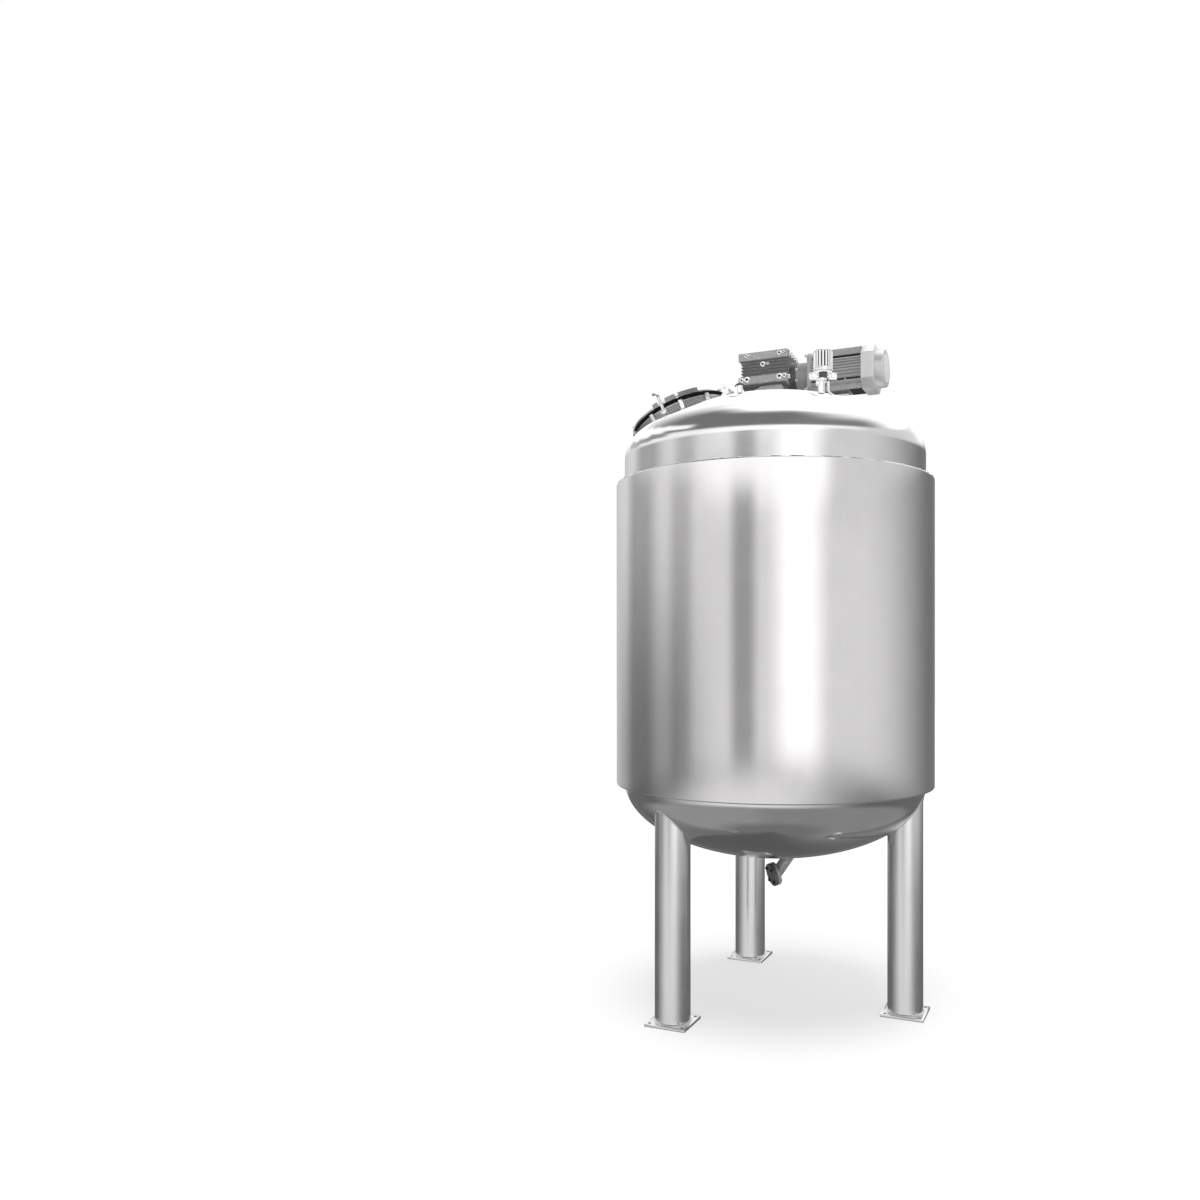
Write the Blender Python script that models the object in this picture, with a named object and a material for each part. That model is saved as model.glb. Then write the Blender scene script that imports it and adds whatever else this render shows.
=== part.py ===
"""Stainless steel mixing tank on three pipe legs, with a top drive and a hinged manway.

Metres, +Z up. The origin is on the floor, on the vessel's axis. The drive motor points
along +X, and the manway lies on the -X side of the top head.
"""
import math

import bmesh
import bpy
from mathutils import Matrix, Vector

# Clearance between two pieces that touch.
GAP = 0.0003

# Vessel: a cylinder between a dished top head and an elliptical bottom head.
VESSEL_RADIUS = 0.711
VESSEL_WALL = 0.007
SHELL_BOTTOM = 1.027
SHELL_TOP = 2.548
DISH_RADIUS = 1.235
KNUCKLE_RADIUS = 0.160
BOTTOM_DEPTH = 0.348
ROUND_STEPS = 48
KNUCKLE_STEPS = 7
DISH_STEPS = 6
BOTTOM_STEPS = 9
INNER_STEPS = 4
INNER_BOTTOM_STEPS = 6

# Levels under and over the top head, between which its holes are cut and its pipes begin.
CUT_LOW = 2.600
CUT_HIGH = 2.950
CUT_REACH = 0.200

# Jacket: sheet cladding around the cylinder, closed by a flat ring at each end.
JACKET_RADIUS = 0.750
JACKET_SHEET = 0.003
JACKET_BOTTOM = 1.017
JACKET_TOP = 2.435

# Three pipe legs under the bottom head, each on a square plate. Their circle is centred a
# little to the motor's side.
LEG_CENTRE = Vector((0.0115, 0.0, 0.0))
LEG_CIRCLE = 0.615
LEG_RADIUS = 0.0795
LEG_WALL = 0.005
LEG_ANGLES = (0.0, 120.0, 240.0)
LEG_STEPS = 24
PLATE_SIDE = 0.192
PLATE_THICKNESS = 0.012
PLATE_HOLE_PITCH = 0.154
PLATE_HOLE_RADIUS = 0.008

# Manway: a neck, a rubber seal and a hinged cover, tilted outward on the top head.
MANWAY_CENTRE = Vector((-0.478, 0.0, 2.808))
MANWAY_TILT = math.radians(22.5)
MANWAY_STEPS = 40
NECK_RADIUS = 0.246
NECK_BORE = 0.225
SEAL_RADIUS = 0.2535
SEAL_BORE = 0.228
SEAL_THICKNESS = 0.016
COVER_RADIUS = 0.250
COVER_RIM = 0.013
COVER_RISE = 0.045
COVER_PLATE = 0.006
COVER_LIP = 0.205
COVER_ROOT = 0.190
COVER_DISH = ((0.130, 0.80), (0.065, 0.95), (0.0, 1.0))
HINGE_REACH = 0.276
HINGE_HEIGHT = 0.014
HINGE_PIN_RADIUS = 0.006
HINGE_PIN_HALF = 0.062
HINGE_CLEARANCE = 0.0010
HINGE_PLATE = 0.012
HINGE_SPACE = 0.0025
LUG_OFFSET = 0.050
LUG_ROUND = 0.014
LUG_ROOT = -0.040
LUG_SHOULDER = -0.012
ARM_OFFSET = 0.030
ARM_ROUND = 0.012
ARM_DEPTH = 0.010
ARM_ROOT = 0.004
ARM_INBOARD = 0.215
HANDLE_PLACE = -0.228
HANDLE_BAR = 0.007
HANDLE_HALF = 0.060
HANDLE_HEIGHT = 0.045
HANDLE_BEND = 0.018

# Right-angle gearbox on its stool, centred a little to the motor's far side.
GEARBOX_CENTRE_X = -0.0235
GEARBOX_LENGTH = 0.243
GEARBOX_WIDTH = 0.180
GEARBOX_SILL = 2.916
GEARBOX_WAIST = 2.952
GEARBOX_SHOULDER = 3.027
GEARBOX_TOP = 3.065
GEARBOX_RIBS = 5
GEARBOX_RIB_DEPTH = 0.008
GEARBOX_INSET = 0.012

# Motor, along +X from the gearbox.
MOTOR_AXIS_Z = 2.942
INPUT_START = GEARBOX_CENTRE_X + GEARBOX_LENGTH / 2 + GAP
INPUT_END = 0.130
INPUT_RADIUS = 0.074
INPUT_BEVEL = 0.004
ADAPTER_END = 0.190
ADAPTER_RADIUS = 0.068
SHIELD_END = 0.208
SHIELD_RADIUS = 0.090
SHIELD_FLAT = 0.80
BEVEL_SLOPE = 0.006
MOTOR_END = 0.443
COWL_END = 0.501
CAP_END = 0.541
MOTOR_CORE = 0.078
MOTOR_RADIUS = 0.092
MOTOR_FIN_COUNT = 7
MOTOR_FIN_PITCH = 0.0139
MOTOR_FIN_THICKNESS = 0.006
MOTOR_FIN_CENTRE = 0.0063
MOTOR_PAD_TOP = 0.103
MOTOR_PAD_HALF = 0.045
MOTOR_PAD_ROOT = 0.079
MOTOR_SOLE_HALF = 0.055
MOTOR_SOLE_ROOT = 0.066
MOTOR_FOOT_START = 0.288
MOTOR_FOOT_END = 0.378
MOTOR_FOOT_HALF = 0.050
MOTOR_FOOT_DEPTH = 0.018
COWL_RADIUS = 0.101
COWL_FLAT = 0.57
CAP_RADIUS = 0.086
CAP_BEVEL = 0.010

# Agitator: one shaft with two sets of pitched blades.
SHAFT_RADIUS = 0.025
SHAFT_SPACE = 0.004
SHAFT_END = 0.800
IMPELLER_HEIGHTS = (0.900, 1.700)
IMPELLER_RADIUS = 0.210
HUB_RADIUS = 0.045
HUB_HEIGHT = 0.090
BLADE_HEIGHT = 0.085
BLADE_THICKNESS = 0.008
BLADE_ROOT = 0.012
BLADE_COUNT = 4
BLADE_PITCH = math.radians(45)

# Breather with its clamp, and the small vent, both on the near side of the top head.
BREATHER_PLACE = Vector((0.350, -0.380, 0.0))
BREATHER_PIPE_RADIUS = 0.0215
BREATHER_PIPE_TOP = 2.812
BREATHER_CLAMP_TOP = 2.846
BREATHER_TOP = 2.936
BREATHER_CLAMP_RADIUS = 0.040
CLAMP_BEVEL = 0.008
CLAMP_LUG_LENGTH = 0.020
CLAMP_LUG_HALF = 0.010
BREATHER_RADIUS = 0.041
BREATHER_SLOTS = 14
BREATHER_SLOT_DEPTH = 0.14
BALANCE_TUBE_RADIUS = 0.005
BALANCE_TUBE_OFFSET = 0.030
BALANCE_TUBE_ROUTE = ((0.0, 2.772), (0.003, 2.762), (0.018, 2.745), (0.028, 2.715))
FITTING_BEARING = math.radians(23.6)
VENT_PLACE = Vector((0.0, -0.480, 0.0))
VENT_RADIUS = 0.0125
VENT_TOP = 2.800
VENT_CAP_TOP = 2.812
VENT_CAP_HALF = 0.019
VENT_CAP_DEPTH = 0.007
VENT_CAP_BEVEL = 0.004
PIPE_WALL = 0.002

# Bottom outlet: an inclined pipe that ends in a blanked flange.
OUTLET_FACE = Vector((0.020, -0.005, 0.584))
OUTLET_BEARING = math.radians(220)
OUTLET_FALL = math.radians(52)
OUTLET_FLANGE_FALL = math.radians(14)
OUTLET_PIPE_RADIUS = 0.027
OUTLET_BORE = 0.0235
OUTLET_FLANGE_RADIUS = 0.055
OUTLET_FLANGE_THICKNESS = 0.016
OUTLET_FLANGE_BORE = 0.0275
OUTLET_PIPE_UPPER = 0.25
OUTLET_PIPE_LOWER = 0.10

# Sides of the smaller round pieces.
FLANGE_STEPS = 24
ROD_STEPS = 16
TUBE_STEPS = 12

STEEL = (0.62, 0.62, 0.63)


def clear_scene():
    for item in list(bpy.data.objects):
        bpy.data.objects.remove(item, do_unlink=True)


def material(name, colour, roughness, metallic):
    made = bpy.data.materials.new(name)
    made.use_nodes = True
    shader = made.node_tree.nodes["Principled BSDF"]
    shader.inputs["Base Color"].default_value = (*colour, 1.0)
    shader.inputs["Roughness"].default_value = roughness
    shader.inputs["Metallic"].default_value = metallic
    return made


def steel(name):
    return material(name + "_steel", STEEL, 0.32, 1.0)


def cast_metal(name):
    return material(name + "_cast", (0.30, 0.31, 0.32), 0.45, 0.8)


def light_plastic(name):
    return material(name + "_plastic", (0.66, 0.67, 0.68), 0.45, 0.0)


def black_rubber(name):
    return material(name + "_rubber", (0.02, 0.02, 0.02), 0.7, 0.0)


def add_object(name, bm, finish=None, place=None, rotation=None, parent=None, sharp=35.0):
    """Turn a bmesh into a named object; without a finish it is a hidden cutter."""
    bmesh.ops.recalc_face_normals(bm, faces=bm.faces)
    mesh = bpy.data.meshes.new(name)
    bm.to_mesh(mesh)
    bm.free()
    made = bpy.data.objects.new(name, mesh)
    bpy.context.scene.collection.objects.link(made)
    if parent is not None:
        made.parent = parent
    if place is not None:
        made.location = place
    if rotation is not None:
        made.rotation_euler = rotation
    if finish is None:
        made.hide_render = True
        made.display_type = 'WIRE'
    else:
        mesh.materials.append(finish)
        mesh.shade_smooth()
        mesh.set_sharp_from_angle(angle=math.radians(sharp))
    return made


def empty(name, place, rotation=(0.0, 0.0, 0.0)):
    made = bpy.data.objects.new(name, None)
    bpy.context.scene.collection.objects.link(made)
    made.location = place
    made.rotation_euler = rotation
    return made


def cut(target, *cutters):
    for cutter in cutters:
        step = target.modifiers.new("cut_" + cutter.name, 'BOOLEAN')
        step.operation = 'DIFFERENCE'
        step.solver = 'EXACT'
        step.object = cutter


def turned(profile, steps=ROUND_STEPS):
    """Spin a closed outline of (radius, height) points about the Z axis."""
    bm = bmesh.new()
    points = [bm.verts.new((radius, 0.0, height)) for radius, height in profile]
    edges = [bm.edges.new(pair) for pair in zip(points, points[1:] + points[:1])]
    bmesh.ops.spin(bm, geom=points + edges, cent=(0, 0, 0), axis=(0, 0, 1),
                   angle=2 * math.pi, steps=steps, use_merge=True)
    on_axis = [v for v in bm.verts if math.hypot(v.co.x, v.co.y) < 1e-6]
    bmesh.ops.remove_doubles(bm, verts=on_axis, dist=1e-6)
    bmesh.ops.dissolve_degenerate(bm, edges=bm.edges, dist=1e-7)
    loose = [e for e in bm.edges if not e.link_faces]
    bmesh.ops.delete(bm, geom=loose, context='EDGES')
    return bm


def tube(outer, inner, low, high, steps):
    return turned([(inner, low), (outer, low), (outer, high), (inner, high)], steps)


def rod(radius, low, high, steps):
    return turned([(0.0, low), (radius, low), (radius, high), (0.0, high)], steps)


def block(low, high, bevel=0.0):
    """A box between two corners, with its upright edges bevelled if a width is given."""
    bm = bmesh.new()
    size = Vector(high) - Vector(low)
    middle = (Vector(high) + Vector(low)) / 2
    frame = Matrix.Translation(middle) @ Matrix.Diagonal((*size, 1.0))
    bmesh.ops.create_cube(bm, size=1.0, matrix=frame)
    if bevel > 0.0:
        upright = [e for e in bm.edges if abs(e.verts[0].co.z - e.verts[1].co.z) > 1e-6]
        bmesh.ops.bevel(bm, geom=upright, offset=bevel, segments=2, affect='EDGES', profile=0.5)
    return bm


def pushed(bm, faces, step):
    """Thicken flat faces into a closed body by moving a copy of them along a step."""
    moved = bmesh.ops.extrude_face_region(bm, geom=faces)
    corners = [v for v in moved["geom"] if isinstance(v, bmesh.types.BMVert)]
    bmesh.ops.translate(bm, verts=corners, vec=step)
    return bm


def extruded(outline, start, end):
    """Push a closed outline of (y, z) points along X."""
    bm = bmesh.new()
    face = bm.faces.new([bm.verts.new((start, y, z)) for y, z in outline])
    return pushed(bm, [face], (end - start, 0.0, 0.0))


def bent_bar(name, points, radius):
    """A round bar with flat ends that follows a line of points."""
    line = bpy.data.curves.new(name, 'CURVE')
    line.dimensions = '3D'
    line.bevel_depth = radius
    line.bevel_resolution = 2
    line.use_fill_caps = True
    spline = line.splines.new('POLY')
    spline.points.add(len(points) - 1)
    for point, place in zip(spline.points, points):
        point.co = (*place, 1.0)
    return line


def along_x(bm, axis_z):
    """Turn a piece made about +Z so that it lies about +X at the given height."""
    turn = Matrix.Translation((0.0, 0.0, axis_z)) @ Matrix.Rotation(math.pi / 2, 4, 'Y')
    bmesh.ops.transform(bm, matrix=turn, verts=bm.verts)
    return bm


def top_head_curve(offset, knuckle_steps, dish_steps):
    """The top head's surface, moved outward by an offset: knuckle first, then the dish."""
    knuckle_centre = VESSEL_RADIUS - KNUCKLE_RADIUS
    half_angle = math.asin(knuckle_centre / (DISH_RADIUS - KNUCKLE_RADIUS))
    dish_centre = SHELL_TOP - (DISH_RADIUS - KNUCKLE_RADIUS) * math.cos(half_angle)
    points = []
    for step in range(knuckle_steps):
        angle = (math.pi / 2 - half_angle) * step / knuckle_steps
        reach = KNUCKLE_RADIUS + offset
        points.append((knuckle_centre + reach * math.cos(angle), SHELL_TOP + reach * math.sin(angle)))
    for step in range(dish_steps + 1):
        angle = half_angle * (1 - step / dish_steps)
        reach = DISH_RADIUS + offset
        points.append((reach * math.sin(angle), dish_centre + reach * math.cos(angle)))
    return points


def bottom_head_curve(offset, steps):
    """The bottom head's surface, moved outward by an offset: rim first, down to the axis."""
    points = []
    for step in range(steps + 1):
        angle = math.pi / 2 * step / steps
        radius = VESSEL_RADIUS * math.cos(angle)
        depth = BOTTOM_DEPTH * math.sin(angle)
        normal = Vector((math.cos(angle) / VESSEL_RADIUS, math.sin(angle) / BOTTOM_DEPTH)).normalized()
        points.append((max(radius + offset * normal.x, 0.0), SHELL_BOTTOM - depth - offset * normal.y))
    points[-1] = (0.0, points[-1][1])
    return points


def make_cutters():
    """Hidden envelopes that trim each piece to the vessel, and the holes in the heads."""
    side = VESSEL_RADIUS + GAP
    middle = (SHELL_BOTTOM + SHELL_TOP) / 2
    crown = [(0.0, middle), (side, middle)] + top_head_curve(GAP, KNUCKLE_STEPS, DISH_STEPS)
    foot = [(0.0, middle), (side, middle)] + bottom_head_curve(GAP, BOTTOM_STEPS)
    manway = rod(NECK_BORE, -CUT_REACH, CUT_REACH, MANWAY_STEPS)
    shaft = rod(SHAFT_RADIUS + SHAFT_SPACE, CUT_LOW, CUT_HIGH, ROD_STEPS)
    breather = rod(BREATHER_PIPE_RADIUS - PIPE_WALL, CUT_LOW, CUT_HIGH, TUBE_STEPS)
    vent = rod(VENT_RADIUS - PIPE_WALL, CUT_LOW, CUT_HIGH, TUBE_STEPS)
    outlet = rod(OUTLET_BORE, -OUTLET_PIPE_UPPER, OUTLET_PIPE_LOWER, TUBE_STEPS)
    return {
        "above": add_object("head_envelope", turned(crown)),
        "below": add_object("foot_envelope", turned(foot)),
        "manway": add_object("manway_hole", manway, place=MANWAY_CENTRE,
                             rotation=(0.0, -MANWAY_TILT, 0.0)),
        "shaft": add_object("shaft_hole", shaft),
        "breather": add_object("breather_hole", breather, place=BREATHER_PLACE),
        "vent": add_object("vent_hole", vent, place=VENT_PLACE),
        "outlet": add_object("outlet_hole", outlet, place=OUTLET_FACE,
                             rotation=outlet_rotation(OUTLET_FALL)),
    }


def make_vessel(cutters):
    inside = VESSEL_RADIUS - VESSEL_WALL
    shell = tube(VESSEL_RADIUS, inside, SHELL_BOTTOM + GAP, SHELL_TOP - GAP, ROUND_STEPS)
    add_object("vessel_shell", shell, steel("vessel_shell"))

    outer = top_head_curve(0.0, KNUCKLE_STEPS, DISH_STEPS)
    inner = top_head_curve(-VESSEL_WALL, INNER_STEPS, INNER_STEPS)
    head = add_object("top_head", turned(outer + inner[::-1]), steel("top_head"))
    cut(head, cutters["manway"], cutters["shaft"], cutters["breather"], cutters["vent"])

    outer = bottom_head_curve(0.0, BOTTOM_STEPS)
    inner = bottom_head_curve(-VESSEL_WALL, INNER_BOTTOM_STEPS)
    head = add_object("bottom_head", turned(outer + inner[::-1]), steel("bottom_head"))
    cut(head, cutters["outlet"])


def make_jacket():
    inside = JACKET_RADIUS - JACKET_SHEET
    wall = tube(JACKET_RADIUS, inside, JACKET_BOTTOM, JACKET_TOP, ROUND_STEPS)
    add_object("jacket_wall", wall, steel("jacket_wall"))
    top_ring = JACKET_TOP - JACKET_SHEET
    for name, low in (("jacket_top_ring", top_ring), ("jacket_bottom_ring", JACKET_BOTTOM)):
        ring = tube(inside - GAP, VESSEL_RADIUS + GAP, low, low + JACKET_SHEET, ROUND_STEPS)
        add_object(name, ring, steel(name))


def make_legs(cutters):
    half = PLATE_SIDE / 2
    bore = LEG_RADIUS - LEG_WALL
    for number, degrees in enumerate(LEG_ANGLES, start=1):
        angle = math.radians(degrees)
        across = Vector((math.cos(angle), math.sin(angle), 0.0))
        foot = LEG_CENTRE + across * LEG_CIRCLE
        name = f"leg_{number}"
        pipe = tube(LEG_RADIUS, bore, PLATE_THICKNESS + GAP, SHELL_BOTTOM, LEG_STEPS)
        leg = add_object(name, pipe, steel(name), place=foot)
        cut(leg, cutters["below"])

        name = f"base_plate_{number}"
        plate = block((-half, -half, 0.0), (half, half, PLATE_THICKNESS))
        plate = add_object(name, plate, steel(name), place=foot)
        for side_x in (-1, 1):
            for side_y in (-1, 1):
                corner = Vector((side_x, side_y, 0.0)) * PLATE_HOLE_PITCH / 2
                hole = rod(PLATE_HOLE_RADIUS, -PLATE_THICKNESS, 2 * PLATE_THICKNESS, TUBE_STEPS)
                name = f"plate_hole_{number}_{side_x}_{side_y}"
                cut(plate, add_object(name, hole, place=foot + corner))


def make_manway(cutters):
    """Neck and seal stay on the head; the cover and its arms turn about the hinge pin."""
    frame = empty("manway_frame", MANWAY_CENTRE, (0.0, -MANWAY_TILT, 0.0))
    seal_top = SEAL_THICKNESS / 2
    neck = tube(NECK_RADIUS, NECK_BORE, -CUT_REACH, -seal_top - GAP, MANWAY_STEPS)
    neck = add_object("manway_neck", neck, steel("manway_neck"), parent=frame)
    cut(neck, cutters["above"])
    seal = tube(SEAL_RADIUS, SEAL_BORE, -seal_top, seal_top, MANWAY_STEPS)
    add_object("manway_seal", seal, black_rubber("manway_seal"), parent=frame)

    hinge = empty("manway_hinge", (HINGE_REACH, 0.0, HINGE_HEIGHT))
    hinge.parent = frame
    to_hinge = Matrix.Translation((-HINGE_REACH, 0.0, -HINGE_HEIGHT))
    base = seal_top + GAP
    rim_top = base + COVER_RIM
    cover = turned(cover_outline(base), MANWAY_STEPS)
    bmesh.ops.transform(cover, matrix=to_hinge, verts=cover.verts)
    add_object("manway_cover", cover, steel("manway_cover"), parent=hinge)

    make_hinge(frame, hinge, rim_top)
    make_cover_handle(hinge, to_hinge, rim_top)


def cover_outline(base):
    """A flat rim around a dished plate of even thickness, as (radius, height) points."""
    rim_top = base + COVER_RIM
    outer = [(radius, base + COVER_RISE * share) for radius, share in COVER_DISH]
    inner = [(radius, height - COVER_PLATE) for radius, height in reversed(outer)]
    rim = [(COVER_RADIUS, base), (COVER_RADIUS, rim_top), (COVER_LIP, rim_top)]
    return rim + [(COVER_ROOT, rim_top + COVER_PLATE)] + outer + inner + [(COVER_ROOT, base)]


def make_hinge(frame, hinge, rim_top):
    """Two lugs on the neck hold the pin; two arms from the cover's rim turn on it."""
    pin = rod(HINGE_PIN_RADIUS, -HINGE_PIN_HALF, HINGE_PIN_HALF, TUBE_STEPS)
    place = Matrix.Translation((HINGE_REACH, 0.0, HINGE_HEIGHT))
    bmesh.ops.transform(pin, matrix=place @ Matrix.Rotation(math.pi / 2, 4, 'X'), verts=pin.verts)
    add_object("hinge_pin", pin, steel("hinge_pin"), parent=frame)
    for side, name in ((-1, "near"), (1, "far")):
        lug = lug_plate(side * LUG_OFFSET)
        add_object(f"hinge_lug_{name}", lug, steel(f"hinge_lug_{name}"), parent=frame)
        arm = arm_plate(side * ARM_OFFSET, rim_top + GAP)
        add_object(f"hinge_arm_{name}", arm, steel(f"hinge_arm_{name}"), parent=hinge)


def arc(centre_x, centre_z, radius, degrees):
    return [(centre_x + radius * math.cos(math.radians(d)),
             centre_z + radius * math.sin(math.radians(d))) for d in degrees]


def lug_plate(middle_y):
    """From the neck's side up to the hinge pin, in the manway's frame."""
    seat = NECK_RADIUS + GAP
    outline = [(seat, LUG_ROOT), (HINGE_REACH + LUG_ROUND / 2, LUG_ROOT / 2)]
    outline += arc(HINGE_REACH, HINGE_HEIGHT, LUG_ROUND, range(0, 181, 45))
    outline += [(SEAL_RADIUS + HINGE_SPACE, LUG_SHOULDER), (seat, LUG_SHOULDER)]
    return pierced(outline, (HINGE_REACH, HINGE_HEIGHT), HINGE_PIN_RADIUS + GAP, middle_y)


def arm_plate(middle_y, seat_z):
    """From the top of the cover's rim out to the hinge pin, in the hinge's frame."""
    seat = seat_z - HINGE_HEIGHT
    inboard = ARM_INBOARD - HINGE_REACH
    rim_edge = COVER_RADIUS + HINGE_SPACE - HINGE_REACH
    outline = [(inboard, seat), (inboard, seat + ARM_DEPTH), (-ARM_DEPTH, seat + ARM_DEPTH)]
    outline += arc(0.0, 0.0, ARM_ROUND, range(90, -181, -45))
    outline += [(rim_edge, ARM_ROOT), (rim_edge, seat)]
    return pierced(outline, (0.0, 0.0), HINGE_PIN_RADIUS + HINGE_CLEARANCE, middle_y)


def pierced(outline, hole, radius, middle_y):
    """A flat plate in the XZ plane with one round hole through it."""
    low_y = middle_y - HINGE_PLATE / 2
    turns = [2 * math.pi * k / TUBE_STEPS for k in range(TUBE_STEPS)]
    round_hole = [(hole[0] + radius * math.cos(a), hole[1] + radius * math.sin(a)) for a in turns]
    bm = bmesh.new()
    edges = []
    for loop in (outline, round_hole):
        ring = [bm.verts.new((x, low_y, z)) for x, z in loop]
        edges += [bm.edges.new(pair) for pair in zip(ring, ring[1:] + ring[:1])]
    filled = bmesh.ops.triangle_fill(bm, edges=edges, use_beauty=True)
    faces = [f for f in filled["geom"] if isinstance(f, bmesh.types.BMFace)]
    return pushed(bm, faces, (0.0, HINGE_PLATE, 0.0))


def make_cover_handle(hinge, to_hinge, rim_top):
    """A bent bar across the free side of the cover's rim."""
    foot = rim_top + GAP
    top = rim_top + HANDLE_HEIGHT
    half = HANDLE_HALF
    route = [(-half, foot), (-half, top - HANDLE_BEND), (-half + HANDLE_BEND, top),
             (half - HANDLE_BEND, top), (half, top - HANDLE_BEND), (half, foot)]
    points = [to_hinge @ Vector((HANDLE_PLACE, y, z)) for y, z in route]
    line = bent_bar("cover_handle", points, HANDLE_BAR)
    line.materials.append(steel("cover_handle"))
    made = bpy.data.objects.new("cover_handle", line)
    bpy.context.scene.collection.objects.link(made)
    made.parent = hinge


def make_gearbox(cutters):
    left = GEARBOX_CENTRE_X - GEARBOX_LENGTH / 2
    right = GEARBOX_CENTRE_X + GEARBOX_LENGTH / 2
    half = GEARBOX_WIDTH / 2
    inset = GEARBOX_INSET

    stool = block((left + inset, -half + inset, CUT_LOW),
                  (right - inset, half - inset, GEARBOX_SILL - GAP), inset)
    stool = add_object("drive_stool", stool, cast_metal("drive_stool"))
    bore = add_object("stool_bore", rod(SHAFT_RADIUS + GAP, CUT_LOW, CUT_HIGH, ROD_STEPS))
    cut(stool, cutters["above"], bore)

    for name, low, high in (("gearbox_bottom_flange", GEARBOX_SILL, GEARBOX_WAIST - GAP),
                            ("gearbox_top_flange", GEARBOX_SHOULDER + GAP, GEARBOX_TOP)):
        flange = block((left, -half, low), (right, half, high), inset / 2)
        add_object(name, flange, cast_metal(name))
    housing = ribbed_box(left + inset, right, half - inset / 2)
    add_object("gearbox_housing", housing, cast_metal("gearbox_housing"))


def ribbed_box(left, right, half):
    """A box with level ribs round three sides; the motor's side is flat."""
    pitch = (GEARBOX_SHOULDER - GEARBOX_WAIST) / GEARBOX_RIBS
    grooved = ((0.0, 0.0), (0.4, 0.0), (0.5, GEARBOX_RIB_DEPTH), (0.9, GEARBOX_RIB_DEPTH))
    levels = [(GEARBOX_WAIST + (k + share) * pitch, inset)
              for k in range(GEARBOX_RIBS) for share, inset in grooved]
    levels.append((GEARBOX_SHOULDER, GEARBOX_RIB_DEPTH))
    bm = bmesh.new()
    loops = []
    for z, inset in levels:
        corners = [(left + inset, -half + inset), (right, -half + inset),
                   (right, half - inset), (left + inset, half - inset)]
        loops.append([bm.verts.new((x, y, z)) for x, y in corners])
    for low, high in zip(loops, loops[1:]):
        for a in range(4):
            b = (a + 1) % 4
            bm.faces.new((low[a], low[b], high[b], high[a]))
    bm.faces.new(list(reversed(loops[0])))
    bm.faces.new(loops[-1])
    return bm


def disc(start, end, radius, start_bevel=0.0, end_bevel=0.0):
    """Outline of a solid round plate between two heights, with its rims cut back if asked."""
    outline = [(0.0, start), (radius - start_bevel, start)]
    if start_bevel > 0.0:
        outline.append((radius, start + BEVEL_SLOPE))
    if end_bevel > 0.0:
        outline.append((radius, end - BEVEL_SLOPE))
    return outline + [(radius - end_bevel, end), (0.0, end)]


def make_motor():
    """Everything on the motor's axis, from the gearbox out to the fan's end cap."""
    flange = disc(INPUT_START, INPUT_END, INPUT_RADIUS, INPUT_BEVEL, INPUT_BEVEL)
    rounds = (
        ("input_flange", flange, cast_metal),
        ("motor_adapter", disc(INPUT_END + GAP, ADAPTER_END, ADAPTER_RADIUS), cast_metal),
        ("motor_end_cap", disc(COWL_END + GAP, CAP_END, CAP_RADIUS, 0.0, CAP_BEVEL), light_plastic),
    )
    for name, outline, finish in rounds:
        piece = along_x(turned(outline, FLANGE_STEPS), MOTOR_AXIS_Z)
        add_object(name, piece, finish(name))

    shield = raised(eight_sided(SHIELD_RADIUS, SHIELD_FLAT))
    shield = extruded(shield, ADAPTER_END + GAP, SHIELD_END)
    add_object("motor_shield", shield, cast_metal("motor_shield"))
    body = extruded(raised(motor_outline()), SHIELD_END + GAP, MOTOR_END)
    add_object("motor_body", body, cast_metal("motor_body"))
    cowl = raised(eight_sided(COWL_RADIUS, COWL_FLAT))
    cowl = extruded(cowl, MOTOR_END + GAP, COWL_END)
    add_object("motor_cowl", cowl, light_plastic("motor_cowl"))

    underside = MOTOR_AXIS_Z - MOTOR_RADIUS
    foot = block((MOTOR_FOOT_START, -MOTOR_FOOT_HALF, underside - MOTOR_FOOT_DEPTH),
                 (MOTOR_FOOT_END, MOTOR_FOOT_HALF, underside - GAP))
    add_object("motor_foot", foot, cast_metal("motor_foot"))


def raised(outline):
    return [(y, z + MOTOR_AXIS_Z) for y, z in outline]


def motor_outline():
    """Level fins on both sides of a round core, with a flat pad on top and a sole below."""
    side = []
    for k in range(MOTOR_FIN_COUNT):
        middle = MOTOR_FIN_CENTRE + (k - (MOTOR_FIN_COUNT - 1) / 2) * MOTOR_FIN_PITCH
        low = middle - MOTOR_FIN_THICKNESS / 2
        high = middle + MOTOR_FIN_THICKNESS / 2
        side += [(MOTOR_CORE, low), (MOTOR_RADIUS, low), (MOTOR_RADIUS, high), (MOTOR_CORE, high)]
    right = [(math.sqrt(radius ** 2 - z ** 2), z) for radius, z in side]
    left = [(-y, z) for y, z in reversed(right)]
    pad = MOTOR_PAD_HALF
    root = MOTOR_PAD_ROOT
    top = [(pad, root), (pad, MOTOR_PAD_TOP), (-pad, MOTOR_PAD_TOP), (-pad, root)]
    sole = MOTOR_SOLE_HALF
    low = [(-sole, -MOTOR_SOLE_ROOT), (-sole, -MOTOR_RADIUS), (sole, -MOTOR_RADIUS),
           (sole, -MOTOR_SOLE_ROOT)]
    return right + top + left + low


def eight_sided(radius, flat):
    """A square of the given half width, its corners cut back to a share of its flats."""
    back = radius * flat
    return [(radius, -back), (radius, back), (back, radius), (-back, radius),
            (-radius, back), (-radius, -back), (-back, -radius), (back, -radius)]


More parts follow.
